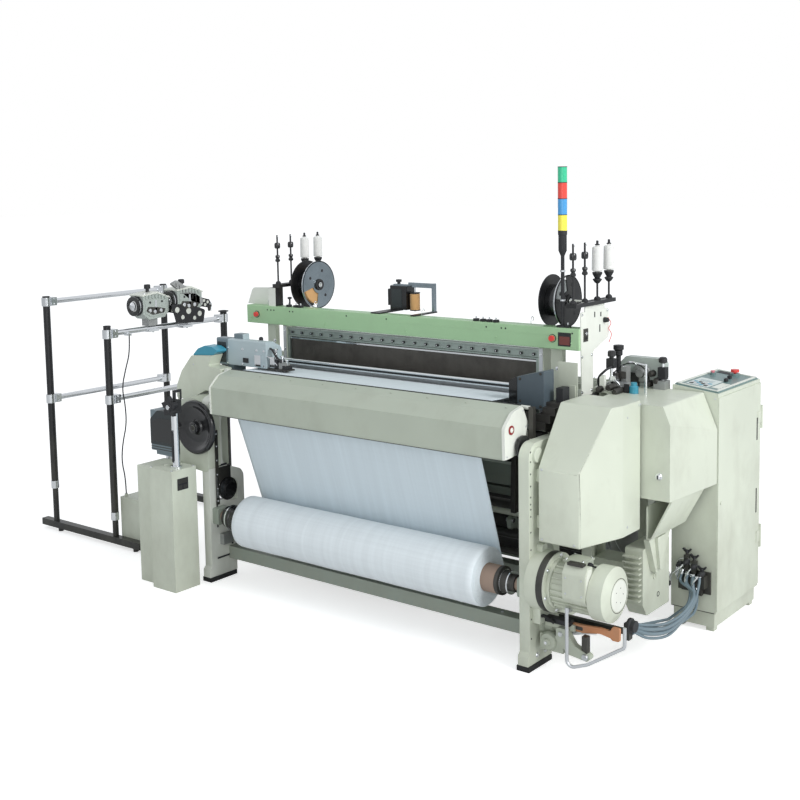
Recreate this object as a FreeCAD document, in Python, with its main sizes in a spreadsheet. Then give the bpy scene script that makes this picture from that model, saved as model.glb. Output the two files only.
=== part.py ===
import FreeCAD, Part
import math
import os
from FreeCAD import Placement, Rotation, Vector

# A flexible-rapier weaving loom with its weft stand and control cabinet, in millimetres.
# Loom frame: +X to the weaver's right, +Y to the back, +Z up. Positions are written from the
# outer front floor corner of the right-hand side frame; "datum" moves the finished nodes so
# that the origin lies on the floor in the middle of the machine.

SIZES = (
    ("frame_span", 2125, "outside of one side frame to the outside of the other"),
    ("frame_thick", 55, "width of a side frame across the machine"),
    ("frame_height", 1040, "top of the side frames above the floor"),
    ("frame_depth", 1400, "side frame, front to back"),
    ("post_depth", 100, "front post of a side frame, front to back"),
    ("pad_height", 25, "rubber pad under each foot"),
    ("seat_reach", 30, "how far a shaft enters its bore in a side frame"),
    ("roller_journal", 18, "take-up roller journals"),
    ("rocker_radius", 24, "sley shaft"),
    ("warp_journal", 35, "warp beam journals"),
    ("running_gap", 0.3, "clearance between faces that pass or seat close to each other"),
    ("roll_radius", 140, "wound cloth roll"),
    ("roll_depth", 60, "cloth roll axis behind the frame front"),
    ("roll_height", 372, "cloth roll axis above the floor"),
    ("roll_right", 262, "right end of the cloth roll, left of the datum"),
    ("roll_width", 1568, "wound width of the cloth roll"),
    ("core_radius", 66, "tube that the cloth is wound on"),
    ("core_reach", 70, "how far the tube stands out of the roll at its right end"),
    ("journal_radius", 30, "roll journals"),
    ("take_up_radius", 60, "take-up roller"),
    ("take_up_depth", 230, "take-up roller axis behind the frame front"),
    ("take_up_height", 990, "take-up roller axis above the floor"),
    ("guide_radius", 25, "front guide bar below the breast cover"),
    ("guide_depth", 45, "guide bar axis behind the frame front"),
    ("guide_height", 995, "guide bar axis above the floor"),
    ("nose_radius", 9, "bar at the back of the breast beam that the cloth runs over"),
    ("nose_depth", 138, "axis of that bar behind the frame front"),
    ("nose_height", 1175, "axis of that bar above the floor"),
    ("cloth_thick", 2, "cloth, with its nap"),
    ("cloth_left", 2030, "left selvedge at the reed"),
    ("cloth_right", 310, "right selvedge at the reed"),
    ("cloth_level", 1162, "height of the cloth where it leaves the reed"),
    ("cover_left", 1980, "left end of the breast cover"),
    ("cover_right", 105, "right end of the breast cover"),
    ("cover_bottom", 963, "lower edge of the breast cover"),
    ("cover_crease", 1112, "front crease of the breast cover"),
    ("sheet", 3, "sheet metal of the covers"),
    ("beam_front", 500, "front face of the top beam behind the frame front"),
    ("beam_bottom", 1391, "underside of the top beam"),
    ("beam_tall", 104, "height of the top beam"),
    ("beam_left", 2245, "left end of the top beam"),
    ("beam_right", 36, "right end of the top beam"),
    ("beam_plate", 6, "folded plate of the top beam"),
    ("beam_shelf", 78, "upper flange of the top beam, front to back"),
    ("heald_left", 1975, "left end of the heald frames"),
    ("heald_right", 285, "right end of the heald frames"),
    ("heald_front", 552, "front face of the first heald frame"),
    ("heald_pitch", 38, "one heald frame to the next"),
    ("heald_thick", 22, "heald frame staves"),
    ("heald_top", 1372, "top of the heald frames at mid shed"),
    ("heald_tall", 440, "height of a heald frame"),
    ("stave_tall", 48, "height of a stave"),
    ("sley_depth", 470, "sley shaft axis behind the frame front"),
    ("sley_height", 600, "sley shaft axis above the floor"),
    ("reed_top", 1206, "top of the reed cap"),
    ("reed_tall", 126, "height of the reed"),
    ("reed_thick", 8, "depth of the reed caps"),
    ("reed_dents", 48, "spaces in the reed that are modelled"),
    ("heald_slots", 36, "spaces between healds that are modelled"),
    ("warp_depth", 1250, "warp beam axis behind the frame front"),
    ("warp_height", 480, "warp beam axis above the floor"),
    ("warp_radius", 330, "warp beam flange"),
    ("yarn_radius", 285, "wound warp yarn"),
    ("rest_depth", 1330, "back rest roller axis behind the frame front"),
    ("rest_height", 1010, "back rest roller axis above the floor"),
    ("rest_radius", 55, "back rest roller"),
    ("clutch_radius", 135, "clutch housing"),
    ("clutch_long", 100, "clutch housing along its axis"),
    ("drive_depth", 85, "motor axis behind the frame front"),
    ("drive_height", 412, "motor axis above the floor"),
    ("motor_radius", 112, "motor barrel over its fins"),
    ("motor_long", 300, "motor from its flange to its end bell"),
    ("lever_across", 168, "clutch lever pin right of the datum"),
    ("lever_depth", 95, "front face of the clutch lever behind the frame front"),
    ("lever_height", 215, "clutch lever pin above the floor"),
    ("lever_pin", 8, "clutch lever pin"),
    ("hoop_radius", 8, "guard hoop tube"),
    ("hose_radius", 7, "oil and air hoses"),
    ("cabinet_left", 250, "control cabinet, side that faces the loom"),
    ("cabinet_wide", 234, "control cabinet along X"),
    ("cabinet_front", 906, "control cabinet front"),
    ("cabinet_deep", 516, "control cabinet along Y"),
    ("cabinet_base", 95, "underside of the cabinet body"),
    ("cabinet_low", 1174, "cabinet top at the door"),
    ("cabinet_high", 1200, "cabinet top at the loom side"),
    ("door_thick", 5, "cabinet door"),
    ("wheel_radius", 150, "handwheel"),
    ("wheel_across", 2130, "handwheel axis left of the datum"),
    ("wheel_height", 873, "handwheel axis above the floor"),
    ("reel_radius", 138, "selvedge yarn reel flange"),
    ("reel_wide", 96, "selvedge yarn reel between its outer faces"),
    ("reel_height", 1608, "selvedge yarn reel axis above the floor"),
    ("stand_bar", 1600, "underside of the slotted yarn bars"),
    ("cone_radius", 27, "selvedge yarn cone"),
    ("cone_tall", 130, "selvedge yarn cone"),
    ("pole_across", 145, "signal pole left of the datum"),
    ("pole_depth", 540, "signal pole behind the frame front"),
    ("lens_radius", 22, "signal lens"),
    ("lens_tall", 76, "one signal lens"),
    ("lens_foot", 1955, "underside of the lowest signal lens"),
    ("creel_left", 3640, "left posts of the weft stand"),
    ("creel_right", 3045, "right posts of the weft stand"),
    ("creel_front", 107, "front posts of the weft stand"),
    ("creel_rear", 1060, "rear posts of the weft stand"),
    ("creel_tall", 1510, "left posts above the floor"),
    ("creel_low", 1360, "right posts above the floor"),
    ("creel_tube", 22, "radius of the black tubes"),
    ("creel_bar_end", 3765, "left end of the base bars of the weft stand"),
    ("rail_radius", 17, "radius of the bright rails"),
    ("cable_radius", 4, "weft feeder cable"),
)

doc = FreeCAD.newDocument("RapierLoom")
sheet = doc.addObject("Spreadsheet::Sheet", "Sizes")
for row, (alias, number, meaning) in enumerate(SIZES, start=1):
    sheet.set(f"A{row}", alias)
    sheet.set(f"B{row}", str(number))
    sheet.set(f"C{row}", meaning)
    sheet.setAlias(f"B{row}", alias)
doc.recompute()


class Size(float):
    """A length that remembers the spreadsheet expression it comes from."""

    def __new__(cls, number, text):
        made = super().__new__(cls, number)
        made.text = text
        return made

    @staticmethod
    def words(value):
        return value.text if isinstance(value, Size) else repr(float(value))

    def __add__(self, other):
        return Size(float(self) + float(other), f"({self.text} + {Size.words(other)})")

    def __radd__(self, other):
        return Size(float(other) + float(self), f"({Size.words(other)} + {self.text})")

    def __sub__(self, other):
        return Size(float(self) - float(other), f"({self.text} - {Size.words(other)})")

    def __rsub__(self, other):
        return Size(float(other) - float(self), f"({Size.words(other)} - {self.text})")

    def __mul__(self, other):
        return Size(float(self) * float(other), f"({self.text} * {Size.words(other)})")

    def __rmul__(self, other):
        return Size(float(other) * float(self), f"({Size.words(other)} * {self.text})")

    def __truediv__(self, other):
        return Size(float(self) / float(other), f"({self.text} / {Size.words(other)})")

    def __neg__(self):
        return Size(-float(self), f"(0 - {self.text})")


class Sheet:
    """Reads a cell of the sheet by its alias."""

    def __getattr__(self, alias):
        return Size(float(sheet.get(alias)), f"Sizes.{alias}")


S = Sheet()
AXES = {
    "x": Rotation(Vector(0, 1, 0), 90),
    "-x": Rotation(Vector(0, 1, 0), -90),
    "y": Rotation(Vector(1, 0, 0), -90),
    "-y": Rotation(Vector(1, 0, 0), 90),
    "z": Rotation(),
}
PLANES = {
    "yz": Rotation(Vector(0, 1, 0), Vector(0, 0, 1), Vector(1, 0, 0)),
    "xz": Rotation(Vector(1, 0, 0), Vector(0, 0, 1), Vector(0, -1, 0)),
    "xy": Rotation(),
}
NODES = []


def bind(thing, name, value):
    """Sets a size; one that comes from the sheet is bound to its cells."""
    if isinstance(value, Size):
        thing.setExpression(name, value.text)
    else:
        parent, _, last = name.rpartition(".")
        if parent:
            place = thing.Placement
            base = place.Base
            setattr(base, last, value)
            place.Base = base
            thing.Placement = place
        else:
            setattr(thing, name, value)


def put(thing, place, rotation=None):
    """Turns a piece and puts its own origin at a point of the loom."""
    thing.Placement = Placement(Vector(*(float(v) for v in place)), rotation or Rotation())
    for letter, value in zip("xyz", place):
        if isinstance(value, Size):
            bind(thing, f"Placement.Base.{letter}", value)
    return thing


def box(name, place, size):
    """A block from its low corner."""
    made = doc.addObject("Part::Box", name)
    for side, value in zip(("Length", "Width", "Height"), size):
        bind(made, side, value)
    return put(made, place)


def rod(name, place, axis, radius, length):
    """A round bar from the middle of its first end."""
    made = doc.addObject("Part::Cylinder", name)
    bind(made, "Radius", radius)
    bind(made, "Height", length)
    return put(made, place, AXES[axis])


def closed(points):
    """Lines and corner arcs through (a, b) or (a, b, corner radius) points."""
    corners = []
    for index, point in enumerate(points):
        here = Vector(float(point[0]), float(point[1]), 0)
        radius = float(point[2]) if len(point) > 2 else 0.0
        last = points[index - 1]
        following = points[(index + 1) % len(points)]
        back = (Vector(float(last[0]), float(last[1]), 0) - here).normalize()
        ahead = (Vector(float(following[0]), float(following[1]), 0) - here).normalize()
        if radius <= 0:
            corners.append((here, None, here))
            continue
        half = back.getAngle(ahead) / 2
        reach = radius / math.tan(half)
        inward = (back + ahead).normalize()
        middle = here + inward * (radius / math.sin(half) - radius)
        corners.append((here + back * reach, middle, here + ahead * reach))
    edges = []
    for index, (start, middle, end) in enumerate(corners):
        if middle is not None:
            edges.append(Part.Arc(start, middle, end))
        following = corners[(index + 1) % len(corners)][0]
        if end.distanceToPoint(following) > 1e-6:
            edges.append(Part.LineSegment(end, following))
    return edges


def ring(across, up, radius):
    """A round hole for an outline."""
    return [Part.Circle(Vector(float(across), float(up), 0), Vector(0, 0, 1), float(radius))]


def body(name, plane_role, geometry):
    made = doc.addObject("PartDesign::Body", name)
    sketch = made.newObject("Sketcher::SketchObject", f"{name}_sketch")
    planes = [plane for plane in made.Origin.OriginFeatures if plane.Role == plane_role]
    sketch.AttachmentSupport = [(planes[0], "")]
    sketch.MapMode = "FlatFace"
    sketch.addGeometry(geometry, False)
    return made, sketch


def prism(name, plane, geometry, start, length):
    """A profile in a plane of the loom, run along the third axis from "start"."""
    made, sketch = body(name, "XY_Plane", geometry)
    pad = made.newObject("PartDesign::Pad", f"{name}_pad")
    pad.Profile = sketch
    bind(pad, "Length", length)
    place = {"yz": (start, 0, 0), "xz": (0, start + length, 0), "xy": (0, 0, start)}[plane]
    return put(made, place, PLANES[plane])


def turned(name, place, axis, points):
    """A profile of (radius, height) points, turned about an axis of the loom."""
    made, sketch = body(name, "XZ_Plane", closed(points))
    revolution = made.newObject("PartDesign::Revolution", f"{name}_revolution")
    revolution.Profile = sketch
    revolution.ReferenceAxis = (sketch, ["V_Axis"])
    revolution.Angle = 360
    return put(made, place, AXES[axis])


def route(points, bends):
    """A wire of straight runs joined by tangent arcs of the given radii."""
    spots = [Vector(*(float(v) for v in point)) for point in points]
    edges = []
    start = spots[0]
    for index, radius in enumerate(bends, start=1):
        back = (spots[index - 1] - spots[index]).normalize()
        ahead = (spots[index + 1] - spots[index]).normalize()
        half = back.getAngle(ahead) / 2
        reach = radius / math.tan(half)
        inward = (back + ahead).normalize()
        middle = spots[index] + inward * (radius / math.sin(half) - radius)
        first = spots[index] + back * reach
        second = spots[index] + ahead * reach
        if start.distanceToPoint(first) > 1e-6:
            edges.append(Part.LineSegment(start, first).toShape())
        edges.append(Part.Arc(first, middle, second).toShape())
        start = second
    edges.append(Part.LineSegment(start, spots[-1]).toShape())
    return Part.Wire(edges)


def tube(name, points, bends, radius, flats=0):
    """A tube along a route: round, or drawn with the given number of flats."""
    path = route(points, bends)
    first = Vector(*(float(v) for v in points[0]))
    heading = Vector(*(float(v) for v in points[1])) - first
    rim = Part.Wire([Part.Circle(first, heading, float(radius)).toShape()])
    if flats:
        rim = Part.makePolygon(rim.discretize(flats + 1))
    made = doc.addObject("Part::Feature", name)
    made.Shape = path.makePipeShell([rim], True, False)
    return made


def union(name, pieces):
    made = doc.addObject("Part::MultiFuse", name)
    made.Shapes = pieces
    made.Refine = True
    return made


def cut(name, base, tool):
    made = doc.addObject("Part::Cut", name)
    made.Base = base
    made.Tool = tool
    return made


def common(name, first, second):
    made = doc.addObject("Part::Common", name)
    made.Base = first
    made.Tool = second
    return made


def node(name, pieces):
    """One node of the part: its solids, moved to the machine's own origin."""
    made = doc.addObject("Part::Compound", name)
    made.Links = pieces
    put(made, (datum_x, datum_y, 0))
    made.Label = name
    NODES.append(made)
    return made


# The machine reaches from the weft stand's base bar to the cabinet hinges, and from the front
# of the weft box to the back of the warp beam flange.
box_front = 247
hinge_radius = 6
hinge_across = S.cabinet_left + S.cabinet_wide + S.door_thick + 3
datum_x = (S.creel_bar_end - hinge_across - hinge_radius) / 2
datum_y = (box_front - S.warp_depth - S.warp_radius) / 2
inner_left = -(S.frame_span - S.frame_thick)
inner_right = -S.frame_thick
inner_wide = S.frame_span - S.frame_thick * 2
gap = S.running_gap
BUTTONS = (-2165, -178)


def side_frame(name, start, recess_at):
    """A cast side frame: posts and rails round two windows, with a pocketed outer face."""
    top = S.frame_height
    rear = S.frame_depth
    foot = S.pad_height
    rail_low = 150
    rail_high = 260
    outline = closed([
        (-16, foot), (-16, foot + 45), (0, foot + 62), (0, top, 70), (700, top, 80),
        (880, 930, 80), (rear, 900, 60), (rear, foot + 62), (rear + 16, foot + 45),
        (rear + 16, foot), (rear - 180, foot), (rear - 180, rail_low), (190, rail_low), (190, foot),
    ])
    boss_low = S.sley_height - 55
    boss_high = S.sley_height + 55
    front_window = closed([
        (260, rail_high, 40), (560, rail_high, 40), (560, boss_low - 15),
        (S.sley_depth - 45, boss_low), (S.sley_depth - 45, boss_high),
        (560, boss_high + 15), (560, 930, 40), (S.post_depth, 930, 40),
        (S.post_depth, 650, 60), (260, 590, 60),
    ])
    rear_window = closed([
        (700, rail_high, 40), (1150, rail_high, 40), (1150, 840, 60), (870, 840), (700, 920, 40),
    ])
    arch = closed([(60, 430), (210, 430), (210, 560, 55), (60, 560, 55)])
    holes = ring(S.take_up_depth, S.take_up_height, S.roller_journal + gap)
    holes += ring(S.sley_depth, S.sley_height, S.rocker_radius + gap)
    holes += ring(S.warp_depth, S.warp_height, S.warp_journal + gap)
    plate = prism(name + "_plate", "yz", outline + front_window + rear_window + arch + holes,
                  start, S.frame_thick)
    recess_deep = 33
    pockets = []
    for index, corners in enumerate((
        [(592, 290), (668, 290), (668, 900), (592, 900)],
        [(1180, 290), (rear - 30, 290), (rear - 30, 380), (1180, 380)],
        [(1180, 590), (rear - 30, 590), (rear - 30, 850), (1180, 850)],
    )):
        pockets.append(prism(f"{name}_pocket_{index}", "yz", closed(corners), recess_at, recess_deep))
    return cut(name + "_cast", plate, union(name + "_pockets", pockets))


def frames():
    right = side_frame("right", inner_right, -33)
    left = side_frame("left", -S.frame_span, -S.frame_span)
    boss = rod("boss", (0, 60, 985), "x", 34, 14)
    node("right_side_frame", [union("right_casting", [right, boss])])
    node("left_side_frame", [left])
    pads = []
    for index, across in enumerate((-S.frame_span - 6, inner_right - 6)):
        for place, deep in ((-18, 200), (S.frame_depth - 182, 200)):
            pads.append(box(f"pad_{index}_{int(place)}", (across, place, 0),
                            (S.frame_thick + 12, deep, S.pad_height)))
    node("foot_pads", pads)
    beams = [
        box("front_cross", (inner_left, 130, 104), (inner_wide, 70, 70)),
        box("middle_cross", (inner_left, 600, 165), (inner_wide, 70, 80)),
        box("rear_cross", (inner_left, S.frame_depth - 175, 40), (inner_wide, 90, 62)),
        box("guard_cross", (inner_left, 610, 700), (inner_wide, 50, 60)),
    ]
    return beams


def breast():
    """Breast beam with its cast end plates, and the folded cover in front of it."""
    low = S.cover_bottom
    crease = S.cover_crease
    end = [(-53, low + 2, 6), (-57, crease, 30), (8, crease + 60, 60), (97, crease + 78, 12),
           (146, crease - 12, 14), (120, 1040, 30), (60, 1035, 20), (20, low + 8, 16)]
    right = prism("right_end", "yz", closed(end), -S.cover_right, 9)
    left = prism("left_end", "yz", closed(end), -S.cover_left - 9, 9)
    span = S.cover_left - S.cover_right
    beam = box("beam_box", (-S.cover_left, -30, crease - 66), (span, 84, 56))
    nose = rod("nose", (inner_left + 20, S.nose_depth, S.nose_height), "x", S.nose_radius,
               inner_wide - 40)
    nose_stands = [box(f"nose_stand_{i}", (x, S.nose_depth - 12, 1030), (24, 24, S.nose_height - 1024))
                   for i, x in enumerate((inner_left + 13, inner_right - 25))]
    right_lug = box("right_lug", (-S.cover_right, 98, 985), (S.cover_right - S.frame_thick, 48, 50))
    right_rib = box("right_rib", (-S.cover_right, 98, 1000), (9, 48, 70))
    right_arm = box("right_arm", (-S.cover_right, 30, 983), (9, 80, 26))
    left_long = S.frame_span - S.frame_thick - S.cover_left
    left_lug = box("left_lug", (inner_left, 98, 985), (left_long, 48, 50))
    left_rib = box("left_rib", (-S.cover_left - 9, 98, 1000), (9, 48, 70))
    left_arm = box("left_arm", (-S.cover_left - 9, 30, 983), (9, 80, 26))
    guide = rod("guide", (-S.cover_left - 9, S.guide_depth, S.guide_height), "x", S.guide_radius,
                span + 18)
    node("breast_beam", [union("breast_casting", [right, left, beam, nose, right_lug, right_rib,
                                                  right_arm, left_lug, left_rib, left_arm, guide]
                                                 + nose_stands)])
    wall = S.sheet
    outer = [(-47, low), (-51, crease), (16, crease + 59), (97, crease + 78)]
    inner = [(97, crease + 78 - wall), (17, crease + 59 - wall), (-51 + wall, crease - 1),
             (-47 + wall, low)]
    cover = prism("cover_fold", "yz", closed(outer + inner), -S.cover_left + gap, span - gap * 2)
    node("breast_cover", [cover])


def top_beam():
    low = S.beam_bottom
    high = S.beam_bottom + S.beam_tall
    front = S.beam_front
    plate = S.beam_plate
    profile = closed([
        (front, low, 4), (front + 45, low), (front + 45, low + plate), (front + plate, low + plate),
        (front + plate, high - plate), (front + S.beam_shelf, high - plate),
        (front + S.beam_shelf, high), (front, high, 4),
    ])
    span = S.beam_left - S.beam_right
    channel = prism("channel", "yz", profile, -S.beam_left, span)
    ends = [box(f"beam_end_{i}", (x, front, low), (plate, 45, S.beam_tall))
            for i, x in enumerate((-S.beam_left, -S.beam_right - plate))]
    seats = [rod(f"seat_{i}", (x, front, high - 52), "-y", 17, 4)
             for i, x in enumerate(BUTTONS)]
    bores = [rod(f"seat_bore_{i}", (x, front + plate + 1, high - 52), "-y", 14 + gap, 14)
             for i, x in enumerate(BUTTONS)]
    node("top_beam", [cut("beam_plate_work", union("beam_plate_union", [channel] + ends + seats),
                          union("seat_bores", bores))])


def uprights():
    """Posts of the top beam, guides of the heald frames, and the guard plate beside them."""
    under = S.beam_bottom + S.beam_tall - S.beam_plate
    tall = under - S.frame_height
    post_front = S.beam_front + 45 + gap
    post_deep = S.beam_shelf - 45 - gap
    guide_front = S.heald_front - 6
    guide_deep = S.heald_pitch * 2 + 6
    left_post = box("left_post", (-S.frame_span, post_front, S.frame_height),
                    (62, post_deep, tall))
    right_post = box("right_post", (-215, post_front, S.frame_height), (64, post_deep, tall))
    foot = box("right_foot", (-215, post_front, S.frame_height), (215, post_deep, 16))
    low = 905
    high = S.beam_bottom - 6
    left_guide = box("left_guide", (-S.heald_left - gap - 28, guide_front, low),
                     (28, guide_deep, high - low))
    right_guide = box("right_guide", (-S.heald_right + gap, guide_front, low),
                      (28, guide_deep, high - low))
    left_tie = box("left_tie", (-S.frame_span, post_front, 1180), (128, post_deep, 50))
    right_tie = box("right_tie", (-S.heald_right + gap, post_front, 1180), (100, post_deep, 50))
    node("uprights", [
        union("left_upright", [left_post, left_guide, left_tie]),
        union("right_upright", [right_post, foot, right_guide, right_tie]),
        union("guard_plate", [box("guard_sheet", (-106, 428, 1171), (106, 4, 176)),
                              box("guard_leg", (-50, 424, S.frame_height), (40, 8, 200))]),
    ])


def belt(stations, shift):
    """Tangent lines and arcs round rollers: (depth, height, signed radius); + turns left."""
    grown = [(float(y), float(z), float(radius) + shift) for y, z, radius in stations]
    lines = []
    for (ay, az, ar), (by, bz, br) in zip(grown, grown[1:]):
        along = Vector(by - ay, bz - az, 0)
        span = along.Length
        heading = math.atan2(along.y, along.x) + math.asin((ar - br) / span)
        side = Vector(math.sin(heading), -math.cos(heading), 0)
        lines.append((Vector(ay, az, 0) + side * ar, Vector(by, bz, 0) + side * br))
    edges = []
    for index, (start, end) in enumerate(lines):
        edges.append(Part.LineSegment(start, end))
        if index + 1 < len(lines):
            y, z, radius = grown[index + 1]
            centre = Vector(y, z, 0)
            following = lines[index + 1][0]
            middle = (end - centre) + (following - centre)
            middle = centre + middle.normalize() * abs(radius)
            edges.append(Part.Arc(end, middle, following))
    return edges, lines[0][0], lines[-1][1]


def sheet_profile(stations):
    """Outline of a sheet that runs over rollers, with square ends."""
    half = S.cloth_thick / 2
    upper, upper_start, upper_end = belt(stations, float(half))
    lower, lower_start, lower_end = belt(stations, -float(half))
    return upper + lower + [Part.LineSegment(upper_start, lower_start),
                            Part.LineSegment(upper_end, lower_end)]


def cloth():
    """Cloth from the reed over the breast beam, round the take-up roller and down to the roll."""
    lift = gap + S.cloth_thick / 2
    fell = (458, S.cloth_level, 0)
    nose = (S.nose_depth, S.nose_height, S.nose_radius + lift)
    take_up = (S.take_up_depth, S.take_up_height, -(S.take_up_radius + lift))
    guide = (S.guide_depth, S.guide_height, S.guide_radius + lift)
    roll = (S.roll_depth, S.roll_height, -(S.roll_radius + lift))
    upper = prism("cloth_upper", "yz", sheet_profile([fell, nose, take_up]),
                  -S.cloth_left, S.cloth_left - S.cloth_right)
    lower = prism("cloth_lower", "yz", sheet_profile([nose, take_up, guide, roll]),
                  -S.roll_right - S.roll_width - 10, S.roll_width + 2)
    node("cloth", [union("cloth_sheet", [upper, lower])])


def rolls():
    """Cloth roll on its tube, its bearings, and the take-up roller."""
    y = S.roll_depth
    z = S.roll_height
    left = -(S.roll_right + S.roll_width)
    core = S.core_radius
    radius = S.roll_radius
    wide = S.roll_width
    wound = turned("wound_cloth", (left, y, z), "x", [
        (core + gap, 0), (radius - 8, 0), (radius, 8), (radius, wide - 8), (radius - 8, wide),
        (core + gap, wide)])
    node("cloth_roll", [wound])
    journal = S.journal_radius
    left_end = inner_left + 2
    right_end = inner_right - 2
    total = right_end - left_end
    body_start = left - 40 - left_end
    body_end = -S.roll_right + S.core_reach - left_end
    spindle = turned("roll_tube", (left_end, y, z), "x", [
        (0, 0), (journal, 0), (journal, body_start), (core, body_start), (core, body_end),
        (58, body_end), (58, body_end + 14), (journal, body_end + 14), (journal, total), (0, total)])
    node("roll_core", [spindle])
    blocks = []
    for name, start, deep in (("left_block", inner_left, 46), ("right_block", inner_right - 22, 22)):
        outline = closed([(y - 46, z - 46, 12), (y + 46, z - 46, 12), (y + 46, z + 46, 12),
                          (y - 46, z + 46, 12)])
        blocks.append(prism(name, "yz", outline + ring(y, z, journal + gap), start, deep))
    return blocks


def take_up():
    seat = S.seat_reach
    journal = S.roller_journal
    end = 6
    total = inner_wide + seat * 2
    roller = turned("take_up_turned", (inner_left - seat, S.take_up_depth, S.take_up_height), "x", [
        (0, 0), (journal, 0), (journal, seat + end), (S.take_up_radius, seat + end),
        (S.take_up_radius, total - seat - end), (journal, total - seat - end), (journal, total),
        (0, total)])
    node("take_up_roller", [roller])


def frame_top(depth):
    """Top edge of the rear half of a side frame."""
    return 930 - (float(depth) - 880) * 30 / (float(S.frame_depth) - 880)


def warp():
    """Warp beam with wound yarn, back rest and drop-wire bars."""
    seat = S.seat_reach
    journal = S.warp_journal
    flange = 14
    total = inner_wide + seat * 2
    first = seat + 60
    last = total - first
    beam = turned("beam_turned", (inner_left - seat, S.warp_depth, S.warp_height), "x", [
        (0, 0), (journal, 0), (journal, first), (S.warp_radius, first),
        (S.warp_radius, first + flange), (S.yarn_radius, first + flange),
        (S.yarn_radius, last - flange), (S.warp_radius, last - flange), (S.warp_radius, last),
        (journal, last), (journal, total), (0, total)])
    node("warp_beam", [beam])
    roller = rod("rest_roller", (inner_left, S.rest_depth, S.rest_height), "x", S.rest_radius,
                 inner_wide)
    arms = []
    for index, x in enumerate((-S.frame_span, inner_right)):
        y = S.rest_depth
        z = S.rest_height
        outline = closed([(y - 60, frame_top(y - 60)), (y + 50, frame_top(y + 50)), (y + 62, z, 40),
                          (y + 30, z + 62, 40), (y - 40, z + 62, 40), (y - 62, z, 20)])
        arms.append(prism(f"rest_arm_{index}", "yz", outline, x, S.frame_thick))
    bars = [box(f"drop_bar_{i}", (inner_left, 930 + 60 * i, 1120), (inner_wide, 8, 30))
            for i in range(4)]
    cheeks = []
    for index, x in enumerate((-S.frame_span, inner_right)):
        outline = closed([(910, frame_top(910)), (1150, frame_top(1150)), (1140, 1160, 20),
                          (915, 1160, 20)])
        cheeks.append(prism(f"drop_cheek_{index}", "yz", outline, x, S.frame_thick))
    node("back_rest", [union("rest_work", [roller] + arms), union("drop_work", bars + cheeks)])


def slotted(name, across, width, low, tall, thick, front, count, margin):
    """A thin wall of upright wires: a plate with even slots through it."""
    outline = closed([(across, low), (across + width, low), (across + width, low + tall),
                      (across, low + tall)])
    pitch = (width - margin * 2) / count
    slot = pitch * 0.62
    slots = []
    for index in range(int(count)):
        x = across + margin + pitch * (index + 0.5)
        slots += closed([(x - slot / 2, low + margin), (x + slot / 2, low + margin),
                         (x + slot / 2, low + tall - margin), (x - slot / 2, low + tall - margin)])
    return prism(name, "xz", outline + slots, front, thick)


def shedding():
    """Sley with the reed, and two heald frames in their guides."""
    left = -S.heald_left
    wide = S.heald_left - S.heald_right
    for index, name in enumerate(("heald_frame_front", "heald_frame_rear")):
        front = S.heald_front + S.heald_pitch * index
        low = S.heald_top - S.heald_tall
        high = S.heald_top
        stave = S.stave_tall
        outline = closed([(left, low), (left + wide, low), (left + wide, high), (left, high)])
        window = closed([(left + 18, low + stave), (left + wide - 18, low + stave),
                         (left + wide - 18, high - stave), (left + 18, high - stave)])
        rim = prism(name + "_rim", "xz", outline + window, front, S.heald_thick)
        wires = slotted(name + "_wires", left + 17, wide - 34, low + stave - 1,
                        S.heald_tall - stave * 2 + 2, 4, front + 9, S.heald_slots, 6)
        node(name, [union(name + "_frame", [rim, wires])])
    reed_left = left + 12
    reed_wide = wide - 24
    low = S.reed_top - S.reed_tall
    wires = slotted("dents", reed_left, reed_wide, low + 20, S.reed_tall - 48, 4, S.sley_depth - 2,
                    S.reed_dents, 4)
    caps = [box("reed_cap", (reed_left, S.sley_depth - S.reed_thick / 2, S.reed_top - 28),
                (reed_wide, S.reed_thick, 28)),
            box("reed_foot", (reed_left, S.sley_depth - S.reed_thick / 2, low),
                (reed_wide, S.reed_thick, 20))]
    node("reed", [union("reed_work", [wires] + caps)])
    shaft = rod("rocker", (inner_left - S.seat_reach, S.sley_depth, S.sley_height), "x",
                S.rocker_radius, inner_wide + S.seat_reach * 2)
    race = prism("race", "xz", closed([(reed_left, low - 46), (reed_left + reed_wide, low - 46),
                                       (reed_left + reed_wide, low), (reed_left, low)]),
                 S.sley_depth - 24, 40)
    swords = []
    for index, x in enumerate((-1900, -1300, -900, -380)):
        y = S.sley_depth
        z = S.sley_height
        outline = closed([(y - 38, z - 30), (y + 38, z - 30), (y + 38, z + 40),
                          (y + 18, low - 40), (y - 20, low - 40), (y - 38, z + 40)])
        swords.append(prism(f"sword_{index}", "yz", outline, x, 26))
    node("sley", [union("sley_work", [shaft, race] + swords)])


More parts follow.
